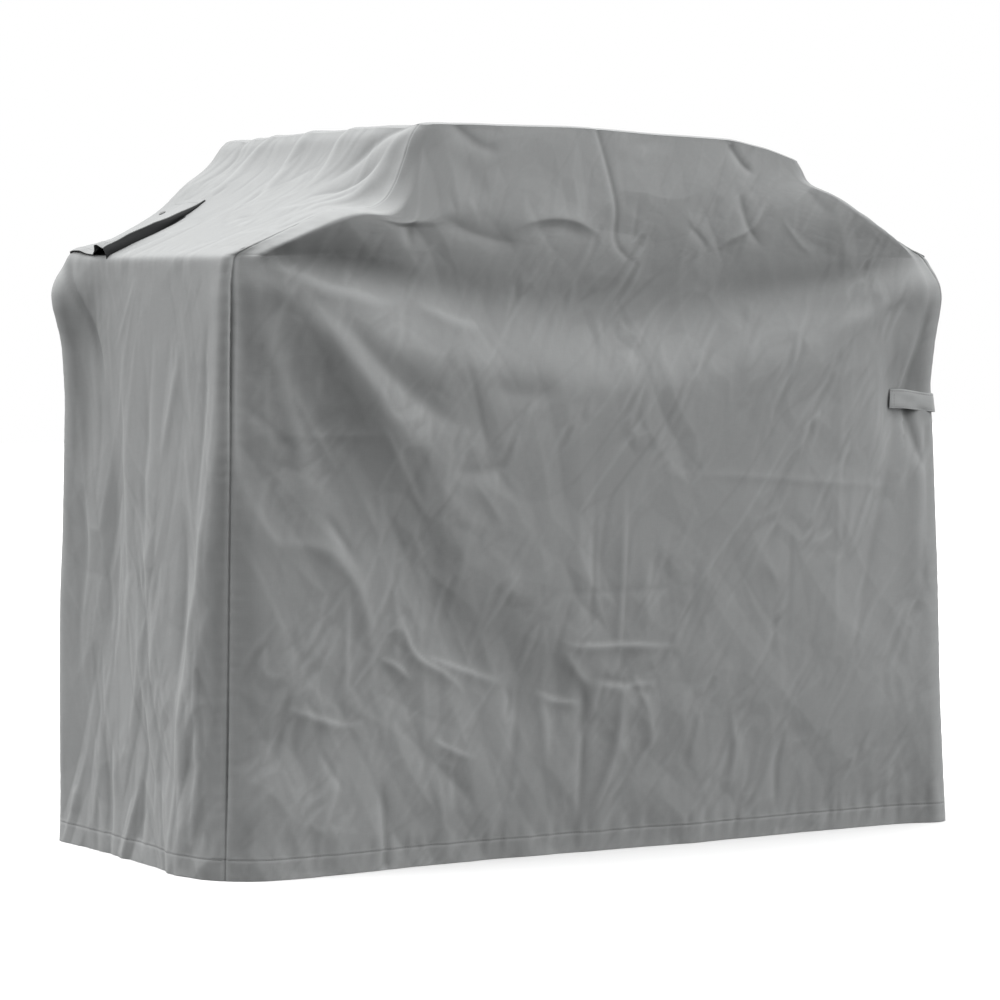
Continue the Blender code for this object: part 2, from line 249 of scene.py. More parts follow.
def route(points, steps=6):
    """A smooth line through the points."""
    p = np.array(points, float)
    if len(p) < 3:
        return p
    p = np.vstack([2 * p[0] - p[1], p, 2 * p[-1] - p[-2]])
    out = []
    for a, b, c, d in zip(p, p[1:], p[2:], p[3:]):
        for t in np.arange(steps) / steps:
            out.append(
                0.5 * (2 * b + (c - a) * t + (2 * a - 5 * b + 4 * c - d) * t**2
                       + (3 * b - a - 3 * c + d) * t**3)
            )
    return np.array([*out, p[-2]])


def fold(points, height, width, other, tip=0.005, ends=(0.0, 0.0)):
    """A ridge, or a valley if height is below 0. width is its reach on the left of its line and
    other on the right; tip rounds its crest; ends is the share of its height left at each end."""
    return route(points), height, width, other, tip, ends


FOLD_REACH, FOLD_POWER, FOLD_FADE = 3.2, 1.35, 0.4


def nearest(line, p, q):
    """Each point's distance to a line, 1 on the line's left or -1 on its right, and its share along."""
    best, side, along = np.full(p.shape, 1e9), np.ones(p.shape), np.zeros(p.shape)
    done = 0.0
    for (ax, ay), (bx, by) in zip(line, line[1:]):
        dx, dy = bx - ax, by - ay
        length = math.hypot(dx, dy)
        t = np.clip(((p - ax) * dx + (q - ay) * dy) / length**2, 0, 1)
        d = np.hypot(p - ax - t * dx, q - ay - t * dy)
        closer = d < best
        best = np.where(closer, d, best)
        side = np.where(closer, np.sign(dx * (q - ay) - dy * (p - ax)), side)
        along = np.where(closer, done + t * length, along)
        done += length
    return best, side, along / done


def add_fold(h, p, q, one):
    """Adds a fold to the heights h of the points at (p, q)."""
    line, height, left, right, tip, ends = one
    reach = FOLD_REACH * max(left, right)
    low, high = line.min(axis=0) - reach, line.max(axis=0) + reach
    near = (p > low[0]) & (p < high[0]) & (q > low[1]) & (q < high[1])
    if not near.any():
        return
    best, side, along = nearest(line, p[near], q[near])
    spread = np.where(side >= 0, left, right)
    shape = np.exp(-(((np.sqrt(best**2 + tip**2) - tip) / spread) ** FOLD_POWER))
    share = np.minimum(
        ends[0] + (1 - ends[0]) * smooth(along / FOLD_FADE),
        ends[1] + (1 - ends[1]) * smooth((1 - along) / FOLD_FADE),
    )
    h[near] += height * shape * share


def distance_past(line, p, q):
    """How far each point is from a line, above 0 on its left."""
    best, side, _ = nearest(line, p, q)
    return best * side


# The front's line at mid-width: how far it stands from the middle of the cover, by height.
FRONT_LINE = ((0, 0.270), (0.05, 0.277), (0.10, 0.284), (0.15, 0.2905), (0.20, 0.296), (0.25, 0.301),
              (0.30, 0.305), (0.40, 0.312), (0.50, 0.319), (0.60, 0.3275), (0.66, 0.3325), (0.70, 0.3350),
              (0.72, 0.3320), (0.74, 0.3260), (0.765, 0.3165), (0.79, 0.3100), (0.81, 0.3090),
              (0.83, 0.3115), (0.85, 0.3170), (0.87, 0.3225), (0.89, 0.3265), (0.91, 0.3292),
              (0.93, 0.3306), (0.95, 0.3304), (0.98, 0.3282), (1.02, 0.3238), (1.05, 0.3199),
              (1.07, 0.3172), (1.09, 0.3145))
RECESS_RISE = (0.075, 0.085)  # how fast the recess rises towards the left and the right corner
LEDGE_RISE = 0.22  # and how much faster the belly's ledge does
# The share of the slack that is left, by the distance from mid-width.
ACROSS = ((0, 1), (0.16, 0.995), (0.26, 0.965), (0.34, 0.895), (0.42, 0.76), (0.50, 0.54), (0.56, 0.31),
          (0.60, 0.12), (0.63, 0.0), (0.7, 0.0))
# The same share at the height of the shelf, from left to right.
SHELF_FULL = ((-0.66, 0), (-0.63, 0.0), (-0.60, 0.15), (-0.55, 0.52), (-0.50, 0.74), (-0.45, 0.86),
              (-0.40, 0.93), (-0.30, 0.98), (-0.20, 1.0), (0.30, 1.0), (0.40, 0.96), (0.45, 0.90),
              (0.50, 0.79), (0.54, 0.60), (0.58, 0.32), (0.62, 0.03), (0.66, 0.0))
# How far the hem stands out further, from left to right.
HEM_OUT = ((-0.66, 0.0), (-0.633, 0.0), (-0.589, 0.004), (-0.547, 0.014), (-0.479, 0.010), (-0.353, -0.007),
           (-0.174, -0.017), (0, -0.010), (0.178, -0.003), (0.375, -0.013), (0.572, -0.014), (0.66, 0.0))
# The left end of the belly: below this line the cloth drops back towards the corner.
BELLY_END = ((-0.70, 1.06), (-0.60, 0.885), (-0.55, 0.79), (-0.505, 0.715), (-0.46, 0.655), (-0.415, 0.60),
             (-0.37, 0.53), (-0.30, 0.45), (-0.235, 0.375), (-0.17, 0.315), (-0.09, 0.25), (0.06, 0.14),
             (0.30, -0.10))
BELLY_DROP = 0.15  # the width of that drop
BELLY_LEFT = 0.52  # the share of the belly left beyond it
# Each fold: the points of its line, in metres across and up the panel, then what fold() takes.
FRONT_FOLDS = (
    # the fan from the left shelf corner
    ([(-0.575, 0.882), (-0.5, 0.8), (-0.445, 0.735), (-0.395, 0.675), (-0.345, 0.62), (-0.285, 0.575)],
     0.0045, 0.022, 0.02, 0.003),
    ([(-0.555, 0.885), (-0.485, 0.818), (-0.42, 0.752), (-0.365, 0.705), (-0.3, 0.665), (-0.21, 0.635)],
     -0.0085, 0.03, 0.022, 0.003),
    ([(-0.6, 0.885), (-0.575, 0.8), (-0.545, 0.7), (-0.52, 0.6), (-0.5, 0.5)], 0.006, 0.02, 0.02, 0.004),
    ([(-0.59, 0.905), (-0.5, 0.892), (-0.42, 0.885), (-0.34, 0.872)], -0.008, 0.022, 0.026),
    ([(-0.6, 0.895), (-0.53, 0.87), (-0.48, 0.85), (-0.42, 0.835), (-0.36, 0.82)], 0.006, 0.014, 0.016,
     0.003),
    # the right-hand fan and the pull of the strap
    ([(0.605, 0.875), (0.56, 0.85), (0.5, 0.825), (0.42, 0.8), (0.36, 0.775)], 0.007, 0.025, 0.03, 0.004),
    ([(0.622, 0.86), (0.612, 0.81), (0.597, 0.75), (0.586, 0.71), (0.58, 0.672)], -0.008, 0.028, 0.014,
     0.0012, (0.1, 1)),
    ([(0.556, 0.648), (0.547, 0.61), (0.533, 0.56), (0.517, 0.51), (0.498, 0.45), (0.475, 0.36),
     (0.46, 0.28)], -0.0075, 0.024, 0.045, 0.0015, (0.5, 0)),
    ([(0.58, 0.672), (0.586, 0.63), (0.597, 0.59), (0.612, 0.555)], -0.005, 0.009, 0.012, 0.0015, (1, 0)),
    ([(0.6, 0.655), (0.598, 0.58), (0.592, 0.48), (0.585, 0.35)], 0.006, 0.02, 0.025, 0.003, (0.9, 0)),
    # short pulls off the belly
    ([(-0.36, 0.835), (-0.32, 0.818), (-0.27, 0.8), (-0.22, 0.795)], 0.004, 0.012, 0.015, 0.002),
    ([(-0.3, 0.59), (-0.24, 0.585), (-0.18, 0.6)], -0.003, 0.018, 0.014, 0.002),
    ([(-0.25, 0.72), (-0.18, 0.7), (-0.1, 0.705)], -0.004, 0.03, 0.02, 0.003),
    # the slack lower left
    ([(-0.605, 0.5), (-0.54, 0.487), (-0.476, 0.47), (-0.425, 0.4), (-0.408, 0.3), (-0.41, 0.22)], 0.0035,
     0.014, 0.018, 0.002),
    ([(-0.49, 0.535), (-0.455, 0.485), (-0.428, 0.444)], -0.0025, 0.008, 0.008, 0.001),
    ([(-0.4, 0.255), (-0.32, 0.17), (-0.238, 0.095), (-0.219, 0.032)], -0.0035, 0.014, 0.02, 0.002),
    ([(-0.57, 0.3), (-0.56, 0.18), (-0.55, 0.06)], -0.004, 0.03, 0.03, 0.005, (0, 1)),
    # the middle of the lower front
    ([(-0.17, 0.3), (-0.158, 0.247), (-0.163, 0.17), (-0.168, 0.099)], -0.003, 0.01, 0.014, 0.0015),
    ([(-0.125, 0.26), (-0.11, 0.19), (-0.105, 0.12)], 0.003, 0.012, 0.012, 0.0015),
    ([(-0.095, 0.325), (-0.053, 0.269), (-0.02, 0.255)], 0.0025, 0.01, 0.012, 0.001),
    ([(-0.053, 0.269), (0, 0.262), (0.053, 0.245), (0.1, 0.235)], -0.0022, 0.01, 0.012, 0.001),
    ([(-0.053, 0.269), (-0.045, 0.22), (-0.05, 0.17)], -0.003, 0.01, 0.01, 0.001),
    ([(0.02, 0.3), (0.053, 0.245), (0.075, 0.19), (0.08, 0.12)], 0.003, 0.012, 0.014, 0.001),
    ([(-0.374, 0.403), (-0.341, 0.32), (-0.285, 0.284), (-0.238, 0.247)], 0.0034, 0.006, 0.014, 0.0006),
    ([(-0.341, 0.32), (-0.26, 0.291), (-0.177, 0.262)], 0.003, 0.006, 0.014, 0.0006),
    ([(-0.403, 0.314), (-0.375, 0.305), (-0.338, 0.273)], 0.002, 0.005, 0.01, 0.0006),
    ([(-0.114, 0.344), (-0.072, 0.318), (0.023, 0.314), (0.135, 0.306)], 0.0026, 0.005, 0.011, 0.0006),
    ([(-0.137, 0.251), (-0.09, 0.234), (-0.042, 0.228)], 0.0024, 0.005, 0.011, 0.0006),
    ([(-0.033, 0.259), (0.02, 0.251), (0.079, 0.255)], 0.0022, 0.005, 0.011, 0.0006),
    ([(-0.179, 0.267), (-0.172, 0.237), (-0.177, 0.206)], -0.0022, 0.008, 0.006, 0.0006),
    ([(-0.314, 0.194), (-0.27, 0.17), (-0.226, 0.156)], 0.0022, 0.005, 0.01, 0.0006),
    ([(-0.46, 0.172), (-0.475, 0.112), (-0.498, 0.047)], 0.003, 0.01, 0.014, 0.0006),
    ([(-0.393, 0.142), (-0.385, 0.077), (-0.381, 0.009)], -0.0034, 0.01, 0.008, 0.0006, (0, 1)),
    ([(-0.554, 0.251), (-0.466, 0.22), (-0.419, 0.219)], 0.0026, 0.006, 0.012, 0.0006),
    ([(-0.452, 0.43), (-0.45, 0.344), (-0.452, 0.224)], 0.0022, 0.007, 0.01, 0.0006),
    ([(0.023, 0.241), (0.014, 0.15), (-0.029, 0.03)], 0.004, 0.014, 0.008, 0.0006, (0.4, 0)),
    ([(-0.04, 0.224), (-0.042, 0.15), (-0.04, 0.034)], -0.0034, 0.012, 0.007, 0.0006),
    ([(0.22, 0.224), (0.235, 0.146), (0.225, 0.052)], 0.0026, 0.012, 0.008, 0.0006),
    ([(0.33, 0.172), (0.318, 0.103), (0.325, 0.026)], -0.0024, 0.009, 0.007, 0.0006),
    # where it was folded in its box
    ([(0.011, 0.58), (0.012, 0.4), (0.011, 0.24)], 0.0018, 0.005, 0.009, 0.0006),
    ([(-0.04, 0.55), (-0.041, 0.45), (-0.04, 0.3)], -0.0013, 0.007, 0.005, 0.0006),
    ([(0.42, 0.77), (0.421, 0.55), (0.419, 0.35), (0.42, 0.22)], 0.0008, 0.01, 0.008, 0.0008),
    ([(0.325, 0.52), (0.326, 0.4), (0.325, 0.27)], -0.0007, 0.007, 0.008, 0.0008),
    ([(-0.62, 0.645), (-0.5, 0.641), (-0.36, 0.643)], 0.0007, 0.008, 0.008, 0.0008),
    ([(0.05, 0.577), (0.25, 0.565), (0.45, 0.548), (0.61, 0.537)], 0.0008, 0.009, 0.007, 0.0008),
    ([(-0.17, 0.402), (0, 0.398), (0.19, 0.401)], -0.0006, 0.008, 0.008, 0.0008),
    # on the hood: a pocket, then creases from left to right
    ([(-0.205, 0.934), (-0.16, 0.951), (-0.107, 0.956), (-0.06, 0.944), (-0.02, 0.922)], 0.003, 0.014,
     0.005, 0.001),
    ([(-0.19, 0.93), (-0.11, 0.942), (-0.03, 0.916)], -0.0022, 0.008, 0.016, 0.002),
    ([(-0.325, 0.975), (-0.267, 0.937), (-0.2, 0.92), (-0.15, 0.918)], -0.0032, 0.012, 0.015, 0.001),
    ([(-0.36, 0.985), (-0.366, 0.945), (-0.355, 0.905)], -0.003, 0.008, 0.01, 0.001),
    ([(-0.33, 1.06), (-0.285, 1.04), (-0.24, 1), (-0.215, 0.95)], -0.0025, 0.022, 0.03, 0.003, (0.6, 0)),
    ([(-0.28, 1.078), (-0.245, 1.055), (-0.2, 1.045)], -0.0025, 0.008, 0.01, 0.001, (1, 0)),
    ([(-0.036, 1.08), (-0.022, 1.03), (-0.01, 0.97), (-0.007, 0.915), (0.046, 0.88)], -0.0024, 0.005, 0.004,
     0.0008, (0.8, 0)),
    ([(0.206, 1.07), (0.222, 1.05), (0.245, 1.028)], -0.0035, 0.007, 0.009, 0.001, (1, 0)),
    ([(0.205, 1.01), (0.216, 0.985), (0.231, 0.942), (0.27, 0.905)], -0.0028, 0.009, 0.007, 0.0008),
    ([(0.155, 0.905), (0.19, 0.925), (0.231, 0.944), (0.262, 0.985)], 0.0024, 0.01, 0.006, 0.0008),
    ([(0.11, 0.955), (0.145, 0.925), (0.158, 0.9)], -0.0022, 0.007, 0.008, 0.0008),
    ([(0.335, 1.02), (0.36, 0.985), (0.4, 0.955)], -0.0018, 0.012, 0.014, 0.0015),
    ([(-0.45, 0.975), (-0.38, 0.955), (-0.31, 0.945), (-0.25, 0.94)], -0.003, 0.018, 0.024, 0.002),
)
LEFT_FOLDS = (
    # the slack front edge: the ridge beside the flat strip along the seam
    ([(-0.245, 0.78), (-0.222, 0.56), (-0.198, 0.42), (-0.165, 0.27), (-0.14, 0)], 0.0105, 0.022, 0.05,
     0.0008, (0.1, 1)),
    ([(-0.215, 0.4), (-0.2, 0.28), (-0.205, 0.16), (-0.197, 0.05)], 0.004, 0.01, 0.008, 0.0008, (0, 0.5)),
    # the crisp start of the long valley under the back corner
    ([(0.25, 0.897), (0.222, 0.86), (0.19, 0.8), (0.165, 0.74), (0.15, 0.68)], -0.0075, 0.014, 0.01, 0.0012,
     (1, 0)),
    ([(0.245, 0.895), (0.21, 0.84), (0.165, 0.76), (0.135, 0.68), (0.115, 0.58), (0.105, 0.5), (0.1, 0.42),
     (0.12, 0.3), (0.13, 0.12)], -0.013, 0.06, 0.075, 0.003, (0.2, 0.3)),
    ([(0.235, 0.86), (0.225, 0.78), (0.205, 0.66), (0.195, 0.5), (0.2, 0.3), (0.195, 0.18)], -0.006, 0.03,
     0.022, 0.003),
    ([(0.075, 0.8), (0.07, 0.66), (0.058, 0.55), (0.045, 0.4), (0.05, 0.25)], 0.0055, 0.016, 0.03, 0.002),
    ([(0, 0.8), (-0.01, 0.66), (-0.005, 0.52), (-0.02, 0.36)], -0.0035, 0.018, 0.014, 0.002),
    ([(-0.117, 0.785), (-0.1, 0.7), (-0.056, 0.578)], 0.003, 0.014, 0.014, 0.0015),
    ([(-0.215, 0.84), (-0.2, 0.74), (-0.195, 0.62), (-0.18, 0.5)], -0.0045, 0.013, 0.016, 0.002),
    ([(-0.14, 0.56), (-0.15, 0.44), (-0.135, 0.3), (-0.13, 0.2)], -0.0045, 0.014, 0.014, 0.0015),
    ([(-0.165, 0.34), (-0.16, 0.2), (-0.17, 0.08), (-0.17, 0)], 0.006, 0.014, 0.02, 0.002, (0, 1)),
    ([(-0.03, 0.3), (-0.035, 0.16), (-0.02, 0.04)], -0.004, 0.012, 0.012, 0.0015, (0, 1)),
    ([(0.075, 0.22), (0.09, 0.12), (0.085, 0)], -0.004, 0.014, 0.014, 0.0015, (0, 1)),
)
SLOPE_FOLDS = (
    ([(-0.295, 1.254), (-0.235, 1.243), (-0.18, 1.216), (-0.145, 1.185), (-0.13, 1.15)], -0.006, 0.014,
     0.01, 0.002, (0.7, 0)),
    ([(-0.306, 1.249), (-0.261, 1.222), (-0.225, 1.181), (-0.202, 1.149), (-0.176, 1.087), (-0.1, 1.069)],
     0.0045, 0.012, 0.014, 0.0015, (0.6, 0)),
    ([(-0.268, 1.225), (-0.214, 1.189), (-0.182, 1.162), (-0.142, 1.128), (-0.15, 1.104)], -0.004, 0.01,
     0.01, 0.0015),
    ([(-0.275, 1.219), (-0.235, 1.173), (-0.22, 1.121), (-0.212, 1.065), (-0.218, 1.043)], 0.004, 0.011,
     0.011, 0.0015),
    ([(-0.265, 1.063), (-0.26, 1.042), (-0.245, 0.985)], -0.004, 0.01, 0.01, 0.0015),
    ([(-0.12, 1.025), (-0.1, 1.02), (-0.08, 1.022)], 0.0025, 0.012, 0.012, 0.002),
    ([(0.149, 1.25), (0.172, 1.204), (0.165, 1.144), (0.197, 1.116)], 0.003, 0.01, 0.018, 0.0015, (1, 0)),
    ([(0.03, 1.25), (0.035, 1.199), (0.021, 1.153), (0, 1.104), (0.04, 1.063)], 0.003, 0.01, 0.018, 0.0015,
     (1, 0)),
    ([(-0.098, 1.251), (-0.091, 1.219), (-0.095, 1.166), (-0.079, 1.149)], 0.0035, 0.01, 0.016, 0.0015,
     (1, 0)),
    ([(0.235, 1.25), (0.225, 1.21), (0.235, 1.16), (0.22, 1.12)], -0.003, 0.01, 0.014, 0.0015, (1, 0)),
)


LEDGE_Z, BELLY_FOOT_Z, HOOD_TOP_Z = 0.79, 0.35, 1.03  # heights between which the front's line tilts
SHELF_BAND = (0.81, 0.07)  # where the front's shape changes to the shelf's: from, over what height
HOOD_BAND = (0.90, 0.15)  # and where it changes to the hood's
HEM_REACH = 0.20  # how far up the hem's own shape reaches


def front_shape(p, q, gap):
    """How far the slack front hangs out past the bare outline."""
    beside = np.abs(p)
    under = 1 - smooth((q - LEDGE_Z - 0.1 * beside) / 0.07)
    slant = np.where(p < 0, *RECESS_RISE)
    rise = (slant * beside + LEDGE_RISE * beside**2 * under) * ramp(q, BELLY_FOOT_Z, 0.3)
    rise = rise * smooth((HOOD_TOP_Z - q) / 0.10)
    low = 1 - smooth(q / HEM_REACH)
    out = knots(q - rise, FRONT_LINE) - half_depth(q) + 0.010 * low
    across = knots(beside, ACROSS)
    end = smooth(distance_past(BELLY_END, p, q) / BELLY_DROP + 0.5)
    left_share = BELLY_LEFT + (1 - BELLY_LEFT) * (1 - smooth(q / 0.30))
    end = left_share + (1 - left_share) * end
    slanted = np.clip((0.615 - beside) / 0.20, 0, 1)
    window = np.where(p < 0, np.sin(slanted * math.pi / 2), across) * end
    shelf = ramp(q, *SHELF_BAND)
    window = (1 - shelf) * window + shelf * knots(p, SHELF_FULL)
    hood = ramp(q, *HOOD_BAND)
    window = (1 - hood) * window + hood * smooth(gap / 0.05) ** 0.8
    return out * window + knots(p, HEM_OUT) * low


# Where the whole cloth has sunk or bulged: the middle, the reach each way, and the push.
SAGS = (
    ((-0.375, -0.30, 1.005), (0.075, 0.13, 0.046), (0.006, 0.0, -0.045)),
    ((-0.420, 0.30, 1.030), (0.060, 0.16, 0.050), (-0.016, 0.0, 0.008)),
)
# How far the rim along the front lies above or below its level, from left to right.
RIM_LINE = ((-0.36, 0.013), (-0.20, 0.010), (-0.07, 0.010), (0.07, 0.002), (0.21, -0.004), (0.27, -0.016),
            (0.33, -0.034), (0.36, -0.037))


def settle(points):
    """Moves points with the sagging parts of the cover."""
    moved = points.copy()
    x, y, z = points[..., 0], points[..., 1], points[..., 2]
    for middle, reach, push in SAGS:
        share = np.exp(-(((points - middle) / reach) ** 2).sum(axis=-1))
        moved = moved + share[..., None] * np.array(push)
    front = np.where(x < 0.1, np.clip((TOP_Y - y) / (2 * TOP_Y), 0, 1), 1.0)
    moved[..., 2] += knots(x, RIM_LINE) * ramp(z, 0.985, 0.085) * front
    return moved


class Facets:
    """Flat facets with straight creases between them: random heights on a swayed triangle grid."""

    SIZE = 97

    def __init__(self, seed, size, stretch, angle):
        dice = np.random.default_rng(seed)
        self.heights = dice.normal(size=(self.SIZE, self.SIZE))
        self.size, self.stretch = size, stretch
        self.angle = math.radians(angle)
        self.phase = dice.uniform(0, 6.28, 6)

    def at(self, p, q):
        """The heights at the points (p, q)."""
        f = self.phase
        along = (p * math.cos(self.angle) + q * math.sin(self.angle)) / (self.size * self.stretch) + 31
        over = (q * math.cos(self.angle) - p * math.sin(self.angle)) / self.size + 37
        a = along + 0.40 * np.sin(1.3 * over + f[0]) + 0.30 * np.sin(1.9 * along + f[1])
        a = a + 0.10 * np.sin(3.1 * over + f[2])
        b = over + 0.40 * np.sin(1.1 * along + f[3]) + 0.35 * np.sin(1.7 * over + f[4])
        b = b + 0.10 * np.sin(2.7 * along + f[5])
        skew = (a + b) * 0.366
        i, j = np.floor(a + skew).astype(int), np.floor(b + skew).astype(int)
        x, y = a + skew - i, b + skew - j
        high, low = np.maximum(x, y), np.minimum(x, y)
        step = (x > y).astype(int)
        n = self.SIZE
        return (
            (1 - high) * self.heights[i % n, j % n]
            + (high - low) * self.heights[(i + step) % n, (j + 1 - step) % n]
            + low * self.heights[(i + 1) % n, (j + 1) % n]
        )


def patches(p, q, seed, wave, share):
    """0 to 1 in soft patches, about the given share of them near 1."""
    return smooth(Facets(seed, wave, 1.3, 20).at(p, q) * 0.5 + share)


def front_rumple(p, q, seed):
    """The front's crumpled ground: each facet layer in its own part of the panel."""
    low = 1 - ramp(q, 0.30, 0.30)
    left = 1 - smooth((p + 0.32) / 0.30)
    right = ramp(p, 0.15, 0.2)
    hood = ramp(q, 0.93, 0.06)
    here = patches(p, q, seed + 9, 0.16, 0.45)
    calm = 1 - 0.5 * right
    h = 0.0010 * low * here * calm * Facets(seed, 0.050, 2.2, 74).at(p, q)
    h = h + 0.0007 * low * calm * Facets(seed + 6, 0.056, 2.4, 103).at(p, q)
    h = h + 0.0009 * left * (1 - hood) * Facets(seed + 1, 0.050, 2.6, -62).at(p, q)
    h = h + 0.0014 * calm * Facets(seed + 2, 0.075, 2.0, 62).at(p, q)
    h = h + 0.0010 * calm * (1 - hood) * Facets(seed + 3, 0.060, 2.2, 118).at(p, q)
    h = h + 0.0007 * hood * Facets(seed + 4, 0.040, 1.8, 75).at(p, q)
    fine = patches(p, q, seed + 8, 0.11, 0.55) * (1 - 0.5 * hood)
    return h + 0.00055 * fine * Facets(seed + 5, 0.022, 1.9, 65).at(p, q)


def side_rumple(p, q, seed):
    """The same for a side: long upright facets on the wall, rounder ones on the slope."""
    low = 1 - ramp(q, 0.25, 0.55)
    wall = 1 - ramp(q, 0.84, 0.05)
    here = patches(p, q, seed + 9, 0.12, 0.35)
    h = wall * (0.0007 + 0.0014 * low) * Facets(seed, 0.050, 2.8, 76).at(p, q)
    h = h + wall * (0.0006 + 0.0012 * low) * Facets(seed + 1, 0.046, 3.2, 101).at(p, q)
    h = h + wall * 0.0006 * here * Facets(seed + 6, 0.024, 3.0, 92).at(p, q)
    h = h + (1 - wall) * 0.0010 * Facets(seed + 2, 0.050, 2.2, 100).at(p, q)
    return h + 0.00020 * here * Facets(seed + 3, 0.015, 2.2, 85).at(p, q)


class Crinkles:
    """Many short sharp creases: where, which way they run, how long, how high."""

    def __init__(self, count, box, angle, spread, length, height, width):
        self.count, self.box, self.angle, self.spread = count, box, angle, spread
        self.length, self.height, self.width = length, height, width

    def folds(self, dice):
        """Draws each crease in turn."""
        x0, y0, x1, y1 = self.box
        for _ in range(self.count):
            x, y = dice.uniform(x0, x1), dice.uniform(y0, y1)
            way = math.radians(dice.normal(self.angle, self.spread))
            length = self.length * dice.uniform(0.5, 1.6)
            bend = dice.normal(0, 0.03) * length
            along = np.array([math.cos(way), math.sin(way)])
            side = np.array([-along[1], along[0]])
            middle = np.array([x, y])
            points = [middle - along * length / 2, middle + side * bend, middle + along * length / 2]
            height = self.height * dice.uniform(0.25, 0.9) * dice.choice([-1, 1])
            width = self.width * dice.uniform(0.7, 1.5)
            other = width * dice.uniform(0.8, 2.2)
            yield fold(points, height, width, other, tip=dice.uniform(0.0006, 0.0016))


FRONT_CRINKLES = (
    Crinkles(12, (-0.60, 0.45, -0.20, 0.88), -58, 12, 0.14, 0.0015, 0.007),
    Crinkles(10, (-0.60, 0.05, -0.25, 0.50), -75, 18, 0.13, 0.0016, 0.008),
    Crinkles(14, (-0.25, 0.04, 0.30, 0.45), 85, 25, 0.10, 0.0014, 0.007),
    Crinkles(8, (0.25, 0.04, 0.62, 0.50), 82, 15, 0.14, 0.0013, 0.008),
    Crinkles(8, (0.25, 0.45, 0.62, 0.85), 62, 20, 0.11, 0.0010, 0.008),
    Crinkles(8, (-0.32, 0.95, 0.05, 1.09), -60, 30, 0.07, 0.0013, 0.006),
    Crinkles(8, (0.0, 0.95, 0.36, 1.09), 55, 35, 0.07, 0.0012, 0.006),
    Crinkles(6, (-0.55, 0.90, -0.30, 1.0), 35, 15, 0.08, 0.0013, 0.006),
    Crinkles(6, (0.30, 0.90, 0.55, 1.0), -35, 15, 0.08, 0.0012, 0.006),
)
SIDE_CRINKLES = (
    Crinkles(16, (-0.24, 0.03, 0.25, 0.45), 88, 10, 0.16, 0.0018, 0.007),
    Crinkles(12, (-0.24, 0.40, 0.25, 0.85), 92, 12, 0.18, 0.0014, 0.007),
    Crinkles(8, (-0.25, 0.0, 0.26, 0.12), 95, 12, 0.08, 0.0022, 0.007),
    Crinkles(12, (-0.25, 1.02, 0.12, 1.25), 100, 16, 0.09, 0.0012, 0.006),
    Crinkles(8, (-0.25, 0.92, 0.10, 1.06), 150, 25, 0.07, 0.0009, 0.007),
    Crinkles(6, (0.10, 1.12, 0.28, 1.25), 85, 16, 0.06, 0.0012, 0.006),
)
PUCKER_SEAM, PUCKER_HEM = 0.0003, 0.0005
FLAT_HEM = 2.2  # how much stronger the hem's puckers are on the front and back
HIP_Z, HIP_FLAT = 0.925, 0.7  # above this height the corner seam's groove loses this share
EAR_REACH, OPEN_REACH = 0.055, 0.0035  # from a corner: how far it is raised, and how far its seam sinks
HEM_GROOVE, HEM_GROOVE_WIDTH = 0.0004, 0.0015


def puckers(distance_along, from_seam, height, reach, dice, shortest, longest):
    """Small gathers square to a seam: they die out away from it."""
    at, places, values = 0.0, [0.0], [0.0]
    end = float(distance_along.max()) + longest
    while at < end:
        at += dice.uniform(shortest, longest)
        places.append(at)
        values.append(dice.uniform(0.3, 1.0) * (1 if len(values) % 2 else -1))
    fine = np.linspace(0, end, 6000)
    wave = np.convolve(np.interp(fine, places, values), np.ones(9) / 9, "same")
    return height * np.interp(distance_along, fine, wave) * np.exp(-((from_seam / reach) ** 1.3))


class Panel:
    """A grid of points: row by row up the cover, column by column counter-clockwise round it."""

    def __init__(self, name, k, width, cell):
        self.name = name
        self.width = width
        self.bare, self.shares = bare_panel(k, width, cell)
        self.normal = normals(self.bare)
        self.k = k

    def local(self):
        """The panel's own coordinates: across it, and up. The back mirrors the front, and the right
        side is the left one turned half round."""
        if self.k % 2 == 0:
            return self.bare[:, :, 0], self.bare[:, :, 2]
        across = self.bare[:, :, 1] * (1 if self.k == 3 else -1)
        return across, np.repeat(ROWS[:, None], len(self.shares), axis=1)


def share_normals(panels):
    """Neighbours take the same normal at their seam, and turn to their own within a short way."""
    own = [p.normal.copy() for p in panels]
    for i, panel in enumerate(panels):
        after = panels[(i + 1) % 4]
        joint = own[i][:, -1] + own[(i + 1) % 4][:, 0]
        joint /= np.linalg.norm(joint, axis=1, keepdims=True)
        for one, distance in (
            (panel, (1 - panel.shares) * panel.width),
            (after, after.shares * after.width),
        ):
            w = (1 - smooth(distance / 0.025))[None, :, None]
            one.normal = one.normal * (1 - w) + joint[:, None, :] * w
    for panel in panels:
        panel.normal /= np.linalg.norm(panel.normal, axis=2, keepdims=True)


def seam_distance(panel):
    """How far each column is from the nearer of the panel's two seams."""
    return np.minimum(panel.shares, 1 - panel.shares)[None, :] * panel.width


SHARP_BEND = 25  # the curvature, per metre, at which a crease counts as sharp


def crease_of(h, panel):
    """From -1 in a sharp valley to 1 on a sharp ridge."""
    u = panel.shares * panel.width
    bend = np.gradient(np.gradient(h, u, axis=1), u, axis=1)
    bend = bend + np.gradient(np.gradient(h, ROWS, axis=0), ROWS, axis=0)
    return np.tanh(-bend / SHARP_BEND)


PRESS_X = 0.590  # the middle of what the strap presses down


